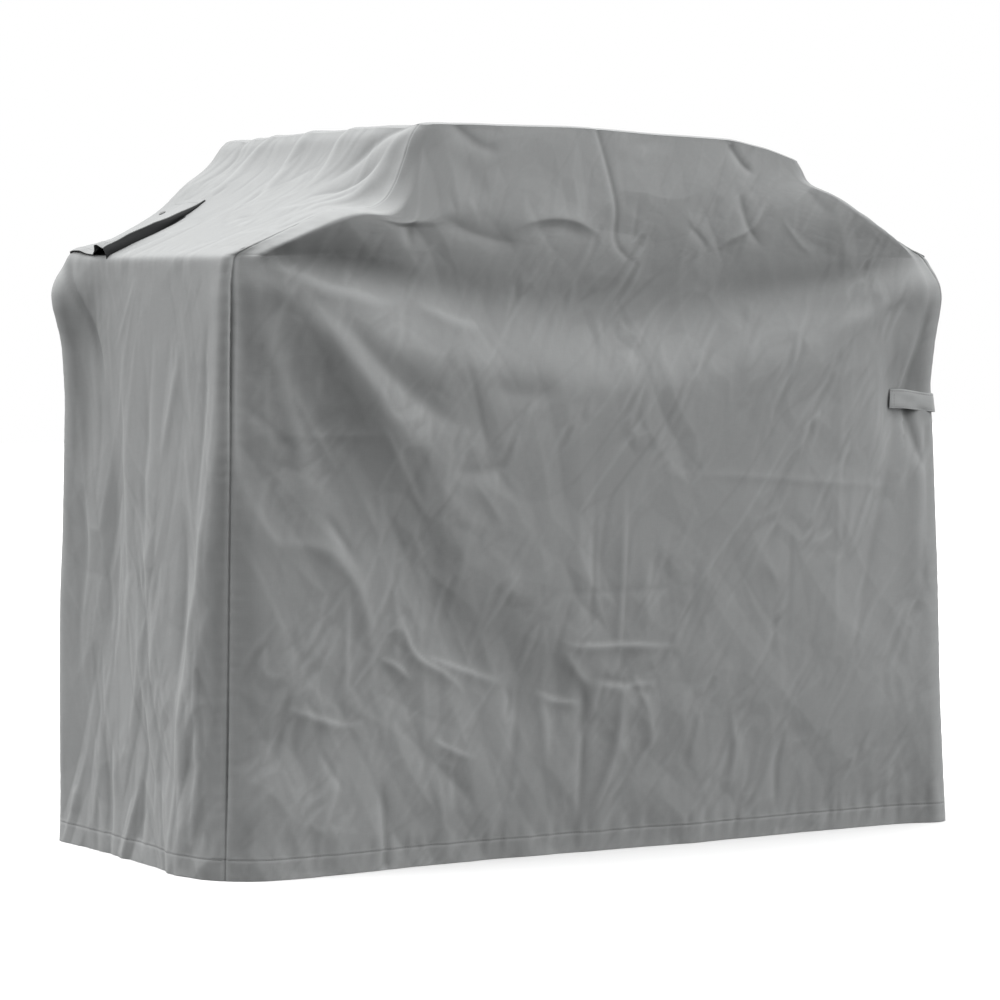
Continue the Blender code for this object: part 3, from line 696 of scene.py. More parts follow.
def press_for_strap(shape, h, p, q):
    """The strap holds the slack back to the corner's own line; valleys run on beneath it."""
    held = np.exp(-(((p - PRESS_X) / 0.066) ** 4)) * np.exp(-(((q - STRAP_Z) / 0.070) ** 2))
    ridges = np.exp(-(((p - PRESS_X) / 0.06) ** 4)) * np.exp(-(((q - STRAP_Z) / 0.030) ** 2))
    return shape * (1 - held), np.where(h > 0, h * (1 - ridges), h)


def folded(panel, across, up, p, q, dice):
    """The height of all folds and creases at a panel's points."""
    flat = panel.k % 2 == 0
    h = np.zeros(p.shape)
    for one in FRONT_FOLDS if flat else (*LEFT_FOLDS, *SLOPE_FOLDS):
        add_fold(h, p, q, fold(*one))
    for group in FRONT_CRINKLES if flat else SIDE_CRINKLES:
        for one in group.folds(dice):
            add_fold(h, across, up, one)
    return h + (front_rumple if flat else side_rumple)(across, up, 40 + 10 * panel.k)


def sewn(panel, total, gap, dice):
    """Adds what the seams and the hem do: raised corners, grooves and puckers."""
    rows = np.repeat(ROWS[:, None], len(panel.shares), axis=1)
    u = panel.shares * panel.width
    for corner, near in ((panel.k, u), ((panel.k + 1) % 4, panel.width - u)):
        ear = knots(ROWS, CORNERS[corner][-1])[:, None]
        total = total + ear * np.exp(-((near[None, :] / EAR_REACH) ** 2))
        if corner == 0:
            sunk = knots(ROW_Z, SEAM_OPEN)[:, None]
            total = total - sunk * np.exp(-((near[None, :] / OPEN_REACH) ** 2))
    hip = 1 - HIP_FLAT * ramp(ROW_Z, HIP_Z, 0.03)[:, None]
    total = total - SEAM_DEPTH * hip * np.exp(-((gap / SEAM_WIDTH) ** 2))
    total = total + puckers(rows, gap, PUCKER_SEAM, 0.018, dice, 0.006, 0.017)
    around = np.repeat(u[None, :], len(ROWS), axis=0)
    hem_gap = np.abs(rows - HEM)
    height = PUCKER_HEM * (FLAT_HEM if panel.k % 2 == 0 else 1.0)
    gathers = puckers(around, hem_gap, height, 0.02, dice, 0.007, 0.024)
    total = total + gathers * smooth(gap / 0.02)
    return total - HEM_GROOVE * np.exp(-((hem_gap / HEM_GROOVE_WIDTH) ** 2))


def displace(panel):
    """Gives the panel its shape: the slack, then folds, creases and seams along the normals."""
    across, up = panel.local()
    dice = np.random.default_rng(20 + panel.k)
    hidden = 1.0 if panel.k in (1, 2) else 0.0  # the back and right folds are the front's, swayed
    p = across + hidden * (0.018 * np.sin(7 * up + 1.0) - 0.01)
    q = up + hidden * 0.02 * np.sin(5 * across + 0.5) * smooth((0.84 - up) / 0.2)
    h = folded(panel, across, up, p, q, dice)
    gap = seam_distance(panel)
    free = smooth(gap / SEAM_FADE)
    if panel.k % 2 == 0:
        shape, h = press_for_strap(front_shape(p, q, gap) * free, h, across, up)
        panel.bare = panel.bare + np.array([0, -1 if panel.k == 0 else 1, 0]) * shape[:, :, None]
        gentle = smooth(gap / 0.05)[:, :, None]
        panel.normal = panel.normal * (1 - gentle) + normals(panel.bare) * gentle
        panel.normal /= np.linalg.norm(panel.normal, axis=2, keepdims=True)
    total = sewn(panel, h * free, gap, dice)
    panel.crease = crease_of(total, panel)
    panel.points = settle(panel.bare + panel.normal * total[:, :, None])
    panel.points[:, :, 2] = np.maximum(panel.points[:, :, 2], 0)


def top_points(front, right, back, left):
    """The top panel, spanned between the four rims and puffed up a little inside them."""
    def rim(panel, places, backwards):
        line = [np.interp(places, panel.shares, panel.points[-1][:, i]) for i in range(3)]
        return np.stack(line, axis=-1)[:: -1 if backwards else 1]

    f, b = front.points[-1], rim(back, 1 - front.shares[::-1], True)
    l, r = left.points[-1][::-1], rim(right, 1 - left.shares[::-1], False)
    u = front.shares[None, :, None]
    w = (1 - left.shares[::-1])[:, None, None]
    grid = (1 - w) * f[None] + w * b[None] + (1 - u) * l[:, None] + u * r[:, None]
    corners = (1 - u) * (1 - w) * f[0] + u * (1 - w) * f[-1] + (1 - u) * w * b[0] + u * w * b[-1]
    grid = grid - corners
    edge = np.minimum(np.minimum(u, 1 - u) * 2 * TOP_X, np.minimum(w, 1 - w) * 2 * TOP_Y)[:, :, 0]
    grid[:, :, 2] += RIM_DROP * smooth(edge / 0.014) + 0.002 * smooth(edge / 0.2)
    return grid


# ---------------------------------------------------------------- meshes


SHARP_FROM = 60  # degrees between faces


def placed(name, mesh):
    """A new smooth object in the scene."""
    mesh.shade_smooth()
    obj = bpy.data.objects.new(name, mesh)
    bpy.context.scene.collection.objects.link(obj)
    return obj


def marked(mesh, name, values):
    """Gives each of the mesh's points a value for the materials to read."""
    mesh.attributes.new(name, "FLOAT", "POINT").data.foreach_set("value", values.astype(np.float32))


def closed_sheet(name, outer, inner, uv=None, crease=None):
    """A sheet with thickness: two grids of points, one behind the other, and a rim round them."""
    rows, columns = outer.shape[:2]
    count = rows * columns
    index = np.arange(count).reshape(rows, columns)
    face = np.stack([index[:-1, :-1], index[:-1, 1:], index[1:, 1:], index[1:, :-1]], axis=-1)
    face = face.reshape(-1, 4)
    edge = np.concatenate([index[0, :-1], index[:-1, -1], index[-1, :0:-1], index[:0:-1, 0]])
    after = np.roll(edge, -1)
    rim = np.stack([edge, edge + count, after + count, after], axis=-1)
    faces = np.concatenate([face, face[:, ::-1] + count, rim])
    points = np.concatenate([outer.reshape(-1, 3), inner.reshape(-1, 3)])
    mesh = bpy.data.meshes.new(name)
    mesh.from_pydata(points.tolist(), [], faces.tolist())
    if uv is None:
        across = np.cumsum(np.linalg.norm(np.diff(outer[rows // 2], axis=0), axis=1))
        up = np.cumsum(np.linalg.norm(np.diff(outer[:, columns // 2], axis=0), axis=1))
        uv = np.stack(np.meshgrid([0, *across], [0, *up]), axis=-1)
    both = np.concatenate([uv.reshape(-1, 2)] * 2)
    layer = mesh.uv_layers.new(name="metres")
    layer.data.foreach_set("uv", both[faces.ravel()].astype(np.float32).ravel())
    # crease drives the paint's ridge wear and painted highlight and its painted valley shade
    marks = np.zeros(2 * count) if crease is None else np.concatenate([crease.ravel()] * 2)
    marked(mesh, "crease", marks)
    # the inner face is marked for the painted shade the cloth paint gives it
    marked(mesh, "inside", np.repeat([0.0, 1.0], count))
    obj = placed(name, mesh)
    mesh.set_sharp_from_angle(angle=math.radians(SHARP_FROM))
    return obj


def thick_sheet(name, grid, thickness, lift=0.0, uv=None, crease=None):
    """A sheet whose outer face stands this far off the grid, along the grid's normals."""
    n = normals(grid)
    return closed_sheet(name, grid + n * lift, grid + n * (lift - thickness), uv, crease)


def joined(name, objects):
    """One object made of several."""
    bpy.ops.object.select_all(action="DESELECT")
    for obj in objects:
        obj.select_set(True)
    bpy.context.view_layer.objects.active = objects[0]
    if len(objects) > 1:
        bpy.ops.object.join()
    objects[0].name = name
    return objects[0]


def finish_piece(obj, body, slot, paint, *nodes):
    """Gives a piece its material and the body it rides, and hides the CAD nodes it stands for. slot is not
    used.
    """
    obj.data.materials.clear()
    obj.data.materials.append(paint)
    if body:
        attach(obj, body)
    if nodes:
        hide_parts(*nodes)
    return obj


STITCH_LENGTH, STITCH_PITCH, STITCH_RADIUS = 0.0034, 0.0046, 0.00042
STITCH_SIDES = 6
STITCH_RINGS = ((-0.5, 0.35), (-0.36, 0.95), (0.0, 1.0), (0.36, 0.95), (0.5, 0.35))  # place, size


def stitch(middle, along, side, normal):
    """One stitch: the points of its rings."""
    for where, size in STITCH_RINGS:
        sink = -STITCH_RADIUS * 0.9 * (2 * abs(where)) ** 2
        centre = middle + along * where * STITCH_LENGTH + normal * sink
        for k in range(STITCH_SIDES):
            a = 2 * math.pi * k / STITCH_SIDES
            spread = side * math.cos(a) * 1.3 + normal * math.sin(a) * 0.8
            yield centre + spread * STITCH_RADIUS * size


def stitches(name, runs):
    """Thread showing as short rounded stitches along each run: (points, normals)."""
    verts, faces = [], []
    rings, sides = len(STITCH_RINGS), STITCH_SIDES
    for points, up in runs:
        gaps = np.linalg.norm(np.diff(points, axis=0), axis=1)
        at = np.concatenate([[0], np.cumsum(gaps)])
        for m in np.arange(STITCH_PITCH, at[-1] - STITCH_PITCH / 2, STITCH_PITCH):
            ends = [
                np.array([np.interp(m + d, at, points[:, i]) for i in range(3)])
                for d in (-STITCH_LENGTH / 2, STITCH_LENGTH / 2)
            ]
            normal = np.array([np.interp(m, at, up[:, i]) for i in range(3)])
            normal /= np.linalg.norm(normal)
            along = ends[1] - ends[0]
            along /= np.linalg.norm(along)
            first = len(verts)
            verts.extend(stitch((ends[0] + ends[1]) / 2, along, np.cross(normal, along), normal))
            for ring in range(rings - 1):
                for k in range(sides):
                    a, b = first + ring * sides + k, first + ring * sides + (k + 1) % sides
                    faces.append((a, b, b + sides, a + sides))
            faces.append(tuple(first + k for k in range(sides))[::-1])
            faces.append(tuple(first + (rings - 1) * sides + k for k in range(sides)))
    mesh = bpy.data.meshes.new(name)
    mesh.from_pydata([tuple(v) for v in verts], [], faces)
    return placed(name, mesh)


# ---------------------------------------------------------------- the pieces


TAPE_DEPTH, TAPE_THICK = CLOTH + 0.0006, 0.0009
TAPE_REACH = 5  # columns or rows on each side of the seam


def tape_sheet(grid, n):
    """Binding tape, just inside the cloth."""
    return closed_sheet("tape", grid - n * TAPE_DEPTH, grid - n * (TAPE_DEPTH + TAPE_THICK))


def panel_piece(panel):
    """The panel's own cloth."""
    uv = np.stack(np.meshgrid(panel.shares * panel.width, ROWS), axis=-1)
    n = normals(panel.points)
    inner = panel.points - n * CLOTH
    return closed_sheet("cloth_" + panel.name, panel.points, inner, uv, panel.crease)


def hem_piece(panel):
    """The turned-up edge, inside the panel."""
    rows = int(np.searchsorted(ROWS, HEM + 0.0015))
    grid = panel.points[:rows]
    n = normals(panel.points)[:rows]
    depth = CLOTH + 0.0003
    return closed_sheet("cloth_" + panel.name.split("_panel")[0] + "_hem", grid - n * depth,
                        grid - n * (depth + CLOTH))


def seam_strip(before, after, first, last):
    """The tape inside a hip seam, from the two panels' edges."""
    def both(end, start):
        return np.concatenate([end[first:last, -TAPE_REACH:], start[first:last, 1:TAPE_REACH]], axis=1)

    return tape_sheet(both(before.points, after.points), both(normals(before.points), normals(after.points)))


def rim_strip(panel, top_edge):
    """The tape inside the seam between a panel's upper edge and the top panel."""
    inset = 8
    lower = panel.points[-TAPE_REACH:, inset:-inset]
    own = np.linspace(0, 1, top_edge.shape[1])
    wanted = np.linspace(0, 1, panel.points.shape[1])
    upper = np.array(
        [[np.interp(wanted, own, row[:, i]) for i in range(3)] for row in top_edge[1:TAPE_REACH]]
    ).transpose(0, 2, 1)[:, inset:-inset]
    grid = np.concatenate([lower, upper], axis=0)
    return tape_sheet(grid, normals(grid))


def sample(panel, across, v):
    """A point on a panel and its normal, by its local coordinates."""
    row = float(np.interp(v, ROWS, np.arange(len(ROWS))))
    r0 = min(int(row), len(ROWS) - 2)
    t = row - r0
    out = []
    for source in (panel.points, panel.facing):
        ends = []
        for r in (r0, r0 + 1):
            own = panel.across[r]
            order = slice(None, None, -1) if own[0] > own[-1] else slice(None)
            ends.append([np.interp(across, own[order], source[r, order, i]) for i in range(3)])
        out.append(np.array(ends[0]) * (1 - t) + np.array(ends[1]) * t)
    return out[0], out[1] / np.linalg.norm(out[1])


def patch(panel, acrosses, vs):
    """A grid of points on a panel, and their normals."""
    found = [[sample(panel, a, v) for a in acrosses] for v in vs]
    return (
        np.array([[p for p, _ in row] for row in found]),
        np.array([[n for _, n in row] for row in found]),
    )


# A vent: its flap stands on a gusset along its front edge, painted near black as painted shade, and lies low
# along its back edge.
# Its places are given by u, from front to back, and t, from the mouth up to the sewn edge.
VENT_MOUTH, VENT_TOP = 0.903, 1.104
VENT_FRONT_LOW, VENT_FRONT_HIGH, VENT_BACK = 0.136, 0.159, 0.249
GUSSET_RISE = ((0.0, 0.0125), (0.25, 0.0155), (0.5, 0.0145), (0.75, 0.0085), (0.92, 0.003), (1.0, 0.0012))
LIP = ((0.0, 0.0135), (0.06, 0.018), (0.13, 0.0215), (0.22, 0.0205), (0.31, 0.010), (0.42, 0.0030),
       (0.58, 0.003), (0.72, 0.0052), (0.84, 0.004), (1.0, 0.0022))


VENT_US = np.concatenate([np.linspace(0, 0.4, 30), np.linspace(0.42, 1, 26)])
VENT_TS = np.concatenate([[0, 0.008, 0.02, 0.035, 0.055], np.linspace(0.08, 1, 34)])
GUSSET_RISES = np.linspace(0, 1, 9)
GUSSET_BELLY, GUSSET_CREASE, GUSSET_FLARE, GUSSET_SINK = 0.0016, 0.0007, 0.004, 0.003
STUD_AT = (0.80, 0.90)  # how far up the flap, and how far across it


def vent_across(u, t):
    """How far back a place on the flap lies."""
    front = VENT_FRONT_LOW + (VENT_FRONT_HIGH - VENT_FRONT_LOW) * t
    return front + (VENT_BACK - front) * u


def vent_lift(u, t):
    """How far the flap's underside stands off the slope: u runs across it, t up it."""
    edge = np.interp(t, *np.array(GUSSET_RISE).T)
    body = edge * (1 - smooth(u * 1.15)) * 0.9 + 0.0025 * (1 - t) ** 0.5 * math.sin(math.pi * u)
    lip = float(knots(np.array([u]), LIP)[0])
    w = math.exp(-((t / 0.13) ** 1.6))
    roll = edge * math.exp(-((u / 0.07) ** 2)) * 0.1
    return max(lip * w + max(body, 0.0013) * (1 - w) + roll, 0.0012)


def vent_grid(panel):
    """Points on the slope below the flap, the directions away from it, and the flap's lift."""
    shape = (len(VENT_TS), len(VENT_US))
    base, normal, lift = np.zeros((*shape, 3)), np.zeros((*shape, 3)), np.zeros(shape)
    for i, t in enumerate(VENT_TS):
        for j, u in enumerate(VENT_US):
            v = VENT_MOUTH + (VENT_TOP - VENT_MOUTH) * t
            base[i, j], normal[i, j] = sample(panel, vent_across(u, t), v)
            lift[i, j] = vent_lift(u, t)
    level = normal.mean(axis=(0, 1))
    level /= np.linalg.norm(level)
    up = normal * 0.4 + level * 0.6
    return base, up / np.linalg.norm(up, axis=2, keepdims=True), lift


def gusset(name, base, up, lift, column, near):
    """The folded cloth between the slope and one edge of the flap."""
    wall = np.zeros((len(VENT_TS), len(GUSSET_RISES), 3))
    for i, t in enumerate(VENT_TS):
        foot = base[i, column]
        head = foot + up[i, column] * max(lift[i, column] - 0.0002, 0.0009)
        across = base[i, column + (1 if near else -1)] - foot
        across /= np.linalg.norm(across)
        for j, s in enumerate(GUSSET_RISES):
            swell = math.sin(math.pi * s)
            belly = GUSSET_BELLY * swell * min(1, lift[i, column] / 0.01)
            crease = GUSSET_CREASE * math.sin(9 * t + 2 * s) * swell
            wall[i, j] = foot + (head - foot) * (0.02 + 0.98 * s) - across * (belly + crease)
    if near:
        flare = np.array([base[0, 0] - base[4, 0]])
        flare /= np.linalg.norm(flare)
        for i in range(3):
            share = (1 - i / 3) * (1 - GUSSET_RISES)[:, None]
            wall[i] += flare * GUSSET_FLARE * share - up[i, 0] * GUSSET_SINK * share
        wall = wall[:, ::-1]
    return thick_sheet(name, wall, 0.0009, 0.00045)


def vent_pieces(side, panel, paints):
    """The flap, its two gussets painted near black as painted shade, the screen over the hole, the stud and
    the thread.
    """
    body = side + "_vent"
    base, up, lift = vent_grid(panel)
    flap_up = up[:, ::-1]  # so that the columns run counter-clockwise, as the panel's do
    under = (base + up * lift[:, :, None])[:, ::-1]
    flap = closed_sheet(f"cloth_{side}_vent_flap", under + flap_up * CLOTH, under)
    finish_piece(flap, body, "cover_cloth", paints["cloth"], f"{side}_vent_flap")
    middle = len(VENT_TS) // 4
    for which, column in (("near", 0), ("far", -1)):
        made = gusset(f"cloth_{side}_vent_{which}_gusset", base, up, lift, column, which == "near")
        # both gussets take near-black paint: painted shade under the flap
        finish_piece(made, None, "cover_cloth", paints["lining"], f"{side}_vent_{which}_gusset")
        foot = base[middle, column]
        tuple(foot)
        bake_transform(made)
    # the hole's dark screen
    hole_across = np.linspace(VENT_FRONT_LOW + 0.008, VENT_BACK - 0.012, 30)
    hole_up = np.linspace(VENT_MOUTH + 0.004, VENT_TOP - 0.05, 30)
    points, facing = patch(panel, hole_across[::-1], hole_up)
    screen = closed_sheet(f"screen_{side}_vent", points + facing * 0.0007, points + facing * 0.0002)
    finish_piece(screen, "cover", "vent_mesh", paints["mesh"], f"{side}_vent_mesh")
    # the stud on the flap
    i, j = (int(np.searchsorted(at, share)) for at, share in zip((VENT_TS, VENT_US), STUD_AT))
    foot = base[i, j] + up[i, j] * (lift[i, j] + CLOTH)
    stud = lathe(f"stud_{side}_vent", foot, up[i, j])
    finish_piece(stud, body, "vent_stud", paints["stud"], f"{side}_vent_stud")
    # stitches along the flap's mouth, its front edge and its sewn edge
    outer = under + flap_up * (CLOTH + 0.0001)
    runs = [(4, slice(2, -2)), (slice(2, -2), len(VENT_US) - 4), (-3, slice(2, -2))]
    thread = stitches(f"thread_{side}_vent", [(outer[run], flap_up[run]) for run in runs])
    finish_piece(thread, body, "cover_cloth", paints["thread"])


# The stud's outline: radius and height, from the crown down to the foot.
STUD_PROFILE = ((0.0, 0.0024), (0.0018, 0.0023), (0.0030, 0.0018), (0.0034, 0.0012), (0.0039, 0.0011),
                (0.0050, 0.0014), (0.0056, 0.0010), (0.0057, 0.0003), (0.0052, 0.0), (0.0, 0.0))


def lathe(name, foot, axis):
    """The stud, turned about its axis."""
    bm = bmesh.new()
    points = [bm.verts.new((r, 0, z)) for r, z in STUD_PROFILE]
    edges = [bm.edges.new(pair) for pair in zip(points, points[1:])]
    bmesh.ops.spin(bm, geom=points + edges, cent=(0, 0, 0), axis=(0, 0, 1), angle=2 * math.pi, steps=28)
    bmesh.ops.remove_doubles(bm, verts=bm.verts, dist=1e-5)
    bmesh.ops.recalc_face_normals(bm, faces=bm.faces)
    turn = Vector(axis).to_track_quat("Z", "Y").to_matrix().to_4x4()
    turn.translation = Vector(foot)
    bm.transform(turn)
    mesh = bpy.data.meshes.new(name)
    bm.to_mesh(mesh)
    bm.free()
    return placed(name, mesh)


# A strap: a doubled strip of cloth that is sewn to one side and wraps the corner.
STRAP_Z, STRAP_HALF = 0.670, 0.015
STRAP_X, STRAP_Y = 0.6382, -0.2655
STRAP_ROOT, STRAP_END = -0.205, 0.5460
STRAP_BEND = 0.010


STRAP_THICK = 0.00085  # half of it, where the cloth is flat
STRAP_CORNER = 0.058  # how far along the strap turns the corner
# Across the strap: height and thickness, each as a share.
STRAP_PROFILE = (
    (-1.0, 0.15), (-0.985, 0.6), (-0.95, 0.9), (-0.86, 1.0), (-0.80, 0.72), (-0.74, 1.0), (-0.4, 1.05),
    (0.0, 1.0), (0.4, 1.05), (0.74, 1.0), (0.80, 0.72), (0.86, 1.0), (0.95, 0.9), (0.985, 0.6), (1.0, 0.15),
)


def strap_path():
    """The strap's line seen from above, from its root round the corner to its end."""
    side = [(STRAP_X, y) for y in np.linspace(STRAP_ROOT, STRAP_Y + STRAP_BEND, 14)]
    turn = [
        (STRAP_X - STRAP_BEND + STRAP_BEND * math.cos(a), STRAP_Y + STRAP_BEND - STRAP_BEND * math.sin(a))
        for a in np.linspace(0, math.pi / 2, 9)[1:]
    ]
    front = [(x, STRAP_Y) for x in np.linspace(STRAP_X - STRAP_BEND, STRAP_END, 30)[1:]]
    return np.array(side + turn + front)


def strap_faces(path, at):
    """The outer and the inner face's points, row by row along the strap."""
    along = np.gradient(path, axis=0)
    along /= np.linalg.norm(along, axis=1, keepdims=True)
    out = np.stack([-along[:, 1], along[:, 0]], axis=1)
    outer, inner = [], []
    for p, n, s in zip(path, out, at):
        end = smooth((at[-1] - s) / 0.003) * 0.85 + 0.15
        corner = math.exp(-((s - STRAP_CORNER) ** 2) / 0.012**2)
        sag = 0.0078 * ramp(s, 0.055, 0.08) - 0.0006
        free = ramp(s, 0.065, 0.02)
        row_out, row_in = [], []
        for h, t in STRAP_PROFILE:
            z = STRAP_Z + sag + h * STRAP_HALF * (1 + 0.03 * math.sin(s * 60))
            ripple = 0.0006 * math.sin(s * 170 + 3 * h) + 0.0004 * math.sin(s * 90 - 4 * h)
            base = p + n * (ripple * free - 0.0018 * h * corner)
            row_out.append([*(base + n * STRAP_THICK * t * end), z])
            row_in.append([*(base - n * STRAP_THICK * t * end), z])
        outer.append(row_out)
        inner.append(row_in)
    return (np.array(face).transpose(1, 0, 2)[:, ::-1] for face in (outer, inner))


def strap_piece(name, nodes, paints, back):
    """A strap with its stitches. The back one mirrors the front one."""
    path = strap_path()
    at = np.concatenate([[0], np.cumsum(np.linalg.norm(np.diff(path, axis=0), axis=1))])
    outer, inner = strap_faces(path, at)
    if back:
        outer, inner = (grid[:, ::-1] * (1, -1, 1) for grid in (outer, inner))
    strip = closed_sheet("strap_" + name, outer, inner)
    n = normals(outer)
    runs = [4, 10, (slice(4, 11), -4 if back else 3)]  # along both edges, and across the end
    thread = stitches("thread_strap_" + name, [(outer[run] + n[run] * 0.0001, n[run]) for run in runs])
    # the strap's paint is lighter than the cover's: painted light
    finish_piece(strip, None, "strap_cloth", paints["strap"], *nodes)
    finish_piece(thread, None, "strap_cloth", paints["thread"])
    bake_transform(strip)
    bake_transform(thread)


# ---------------------------------------------------------------- materials


class Paint:
    """A Principled material and short ways to add nodes to it."""

    def __init__(self, name, colour, roughness, **values):
        self.material = bpy.data.materials.new(name)
        self.material.use_nodes = True
        self.material.diffuse_color = (*colour, 1)
        tree = self.material.node_tree
        self.nodes, self.links = tree.nodes, tree.links
        self.shader = self.nodes["Principled BSDF"]
        self.shader.inputs["Base Color"].default_value = (*colour, 1)
        self.shader.inputs["Roughness"].default_value = roughness
        for key, value in values.items():
            self.shader.inputs[key.replace("_", " ")].default_value = value

    def node(self, kind, values=(), **settings):
        """A new node: values for its sockets, or other sockets to link them to, and its settings."""
        made = self.nodes.new("ShaderNode" + kind)
        for key, value in settings.items():
            setattr(made, key, value)
        for key, value in dict(values).items():
            if isinstance(value, bpy.types.NodeSocket):
                self.links.new(value, made.inputs[key])
            else:
                made.inputs[key].default_value = value
        return made

    def math(self, operation, a, b=0.0, c=0.0):
        return self.node("Math", {0: a, 1: b, 2: c}, operation=operation).outputs[0]

    def metres(self, scale=(1, 1, 1)):
        """The place on the cloth, in metres times the scale."""
        place = self.node("UVMap", uv_map="metres").outputs[0]
        return self.node("Mapping", {"Vector": place, "Scale": scale}).outputs[0]

    def noise(self, vector, scale, detail=2.0, rough=0.5, **more):
        made = self.node("TexNoise", {"Vector": vector, "Scale": scale, "Detail": detail,
                                      "Roughness": rough, **more})
        return made.outputs["Fac"]

    def thread_wave(self, vector, direction, per_metre):
        """Parallel threads, so many to the metre."""
        return self.node(
            "TexWave", {"Vector": vector, "Scale": per_metre / (math.pi * 2) * 2, "Distortion": 0.6,
                        "Detail": 1.0, "Detail Scale": 0.4},
            bands_direction=direction,
        ).outputs["Fac"]

    def bump(self, height, distance, strength=1.0, under=None):
        """A normal from a height, on top of another normal if one is given."""
        values = {"Height": height, "Distance": distance, "Strength": strength}
        if under is not None:
            values["Normal"] = under
        return self.node("Bump", values).outputs[0]

    def tint(self, colour, *factors):
        """The colour times the product of the factors."""
        total = factors[0]
        for f in factors[1:]:
            total = self.math("MULTIPLY", total, f)
        scaled = self.node("VectorMath", {0: (*colour,), "Scale": total}, operation="SCALE").outputs[0]
        self.links.new(scaled, self.shader.inputs["Base Color"])
        return scaled

    def done(self, normal=None, rough=None):
        """The material, with these sockets linked to its shader."""
        for key, socket in (("Roughness", rough), ("Normal", normal)):
            if socket is not None:
                self.links.new(socket, self.shader.inputs[key])
        return self.material

    def around(self, value, low, high):
        """0 to 1 turned into low to high."""
        return self.node("MapRange", {"Value": value, "From Min": 0.0, "From Max": 1.0, "To Min": low,
                                      "To Max": high}).outputs[0]


def cloth_paint(name, colour, weave=1100.0, roughness=0.72):
    """Coated polyester: a fine plain weave with uneven threads, faint mottling, wear and painted highlight
    on sharp ridges, painted shade in sharp valleys and on the inner face.
    """
    p = Paint(name, colour, roughness, Specular_IOR_Level=0.32, Sheen_Weight=0.12, Sheen_Roughness=0.45)
    flat = p.metres()
    warp = p.thread_wave(flat, "X", weave)
    weft = p.thread_wave(flat, "Y", weave)
    cloth = p.math("MAXIMUM", warp, weft)
    slub_x = p.noise(p.metres((45, 900, 1)), 1.0, 3.0, 0.6)
    slub_y = p.noise(p.metres((900, 45, 1)), 1.0, 3.0, 0.6)
    slub = p.math("MULTIPLY_ADD", slub_x, 0.5, p.math("MULTIPLY", slub_y, 0.5))
    cloud = p.noise(flat, 7.0, 4.0, 0.55)
    speck = p.noise(flat, 230.0, 3.0, 0.6)
    crease = p.node("Attribute", attribute_name="crease").outputs["Fac"]
    inside = p.node("Attribute", attribute_name="inside").outputs["Fac"]
    # sharp ridges a tenth lighter, wear and painted highlight; sharp valleys a tenth darker, painted shade
    crease_wear_and_light = p.math("MULTIPLY_ADD", crease, 0.10, 1.0)
    # the inner face a quarter darker: painted shade for the inside of the cover
    back = p.math("MULTIPLY_ADD", inside, -0.25, 1.0)
    p.tint(
        colour,
        p.around(cloud, 0.955, 1.045),
        p.around(slub, 0.90, 1.10),
        p.around(speck, 0.975, 1.025),
        p.around(cloth, 0.97, 1.015),
        crease_wear_and_light,
        back,
    )
    rough = p.math("ADD", p.around(cloud, roughness - 0.06, roughness + 0.06),
                   p.math("MULTIPLY", crease, -0.05))
    crumple = p.noise(flat, 38.0, 4.0, 0.55, Distortion=0.4)
    normal = p.bump(crumple, 0.0007, 0.6)
    normal = p.bump(slub, 0.00022, 0.6, normal)
    return p.done(p.bump(cloth, 0.00012, 0.5, normal), rough)


def tape_paint(name, colour, ribs=900.0):
    """A woven tape with fine ribs across it."""
    p = Paint(name, colour, 0.8, Specular_IOR_Level=0.25, Sheen_Weight=0.1)
    flat = p.metres()
    rib = p.thread_wave(flat, "X", ribs)
    fuzz = p.noise(flat, 1500.0, 2.0, 0.6)
    p.tint(colour, p.around(rib, 0.85, 1.08), p.around(p.noise(flat, 30.0), 0.93, 1.07),
           p.around(fuzz, 0.92, 1.08))
    return p.done(p.bump(p.math("ADD", rib, p.math("MULTIPLY", fuzz, 0.5)), 0.0003, 0.8))


def pile_paint(name, colour):
    """Hook-and-loop tape: a dense field of little hooks or loops."""
    p = Paint(name, colour, 0.85, Specular_IOR_Level=0.3, Sheen_Weight=0.3)
    flat = p.metres()
    dots = p.node("TexVoronoi", {"Vector": flat, "Scale": 900.0, "Randomness": 0.55}).outputs["Distance"]
    fuzz = p.noise(flat, 2600.0, 3.0, 0.7)
    p.tint(colour, p.around(dots, 1.25, 0.55), p.around(fuzz, 0.8, 1.2))
    return p.done(p.bump(p.math("SUBTRACT", fuzz, dots), 0.0006, 0.9))


def screen_paint(name):
    """Open black netting."""
    colour = (0.012, 0.012, 0.013)
    p = Paint(name, colour, 0.6, Specular_IOR_Level=0.2)
    flat = p.metres()
    x = p.thread_wave(flat, "X", 1500.0)
    y = p.thread_wave(flat, "Y", 1500.0)
    net = p.math("MAXIMUM", x, y)
    p.tint(colour, p.around(net, 0.25, 1.6), p.around(p.noise(flat, 90.0), 0.85, 1.15))
    return p.done(p.bump(net, 0.0003, 0.8))


def stud_paint(name, colour):
    """Grey painted metal, hazed by wear."""
    p = Paint(name, colour, 0.45, Metallic=0.35)
    place = p.node("TexCoord").outputs["Object"]
    haze = p.noise(place, 900.0, 3.0)
    p.tint(colour, p.around(haze, 0.85, 1.12))
    return p.done(p.bump(haze, 0.0001, 0.5), p.around(haze, 0.35, 0.6))


def thread_paint(name, colour):
    """Twisted sewing thread."""
    p = Paint(name, colour, 0.7, Sheen_Weight=0.2)
    place = p.node("TexCoord").outputs["Object"]
    twist = p.noise(place, 2500.0, 2.0)
    p.tint(colour, p.around(twist, 0.75, 1.2))
    return p.done(p.bump(twist, 0.0002, 0.8))


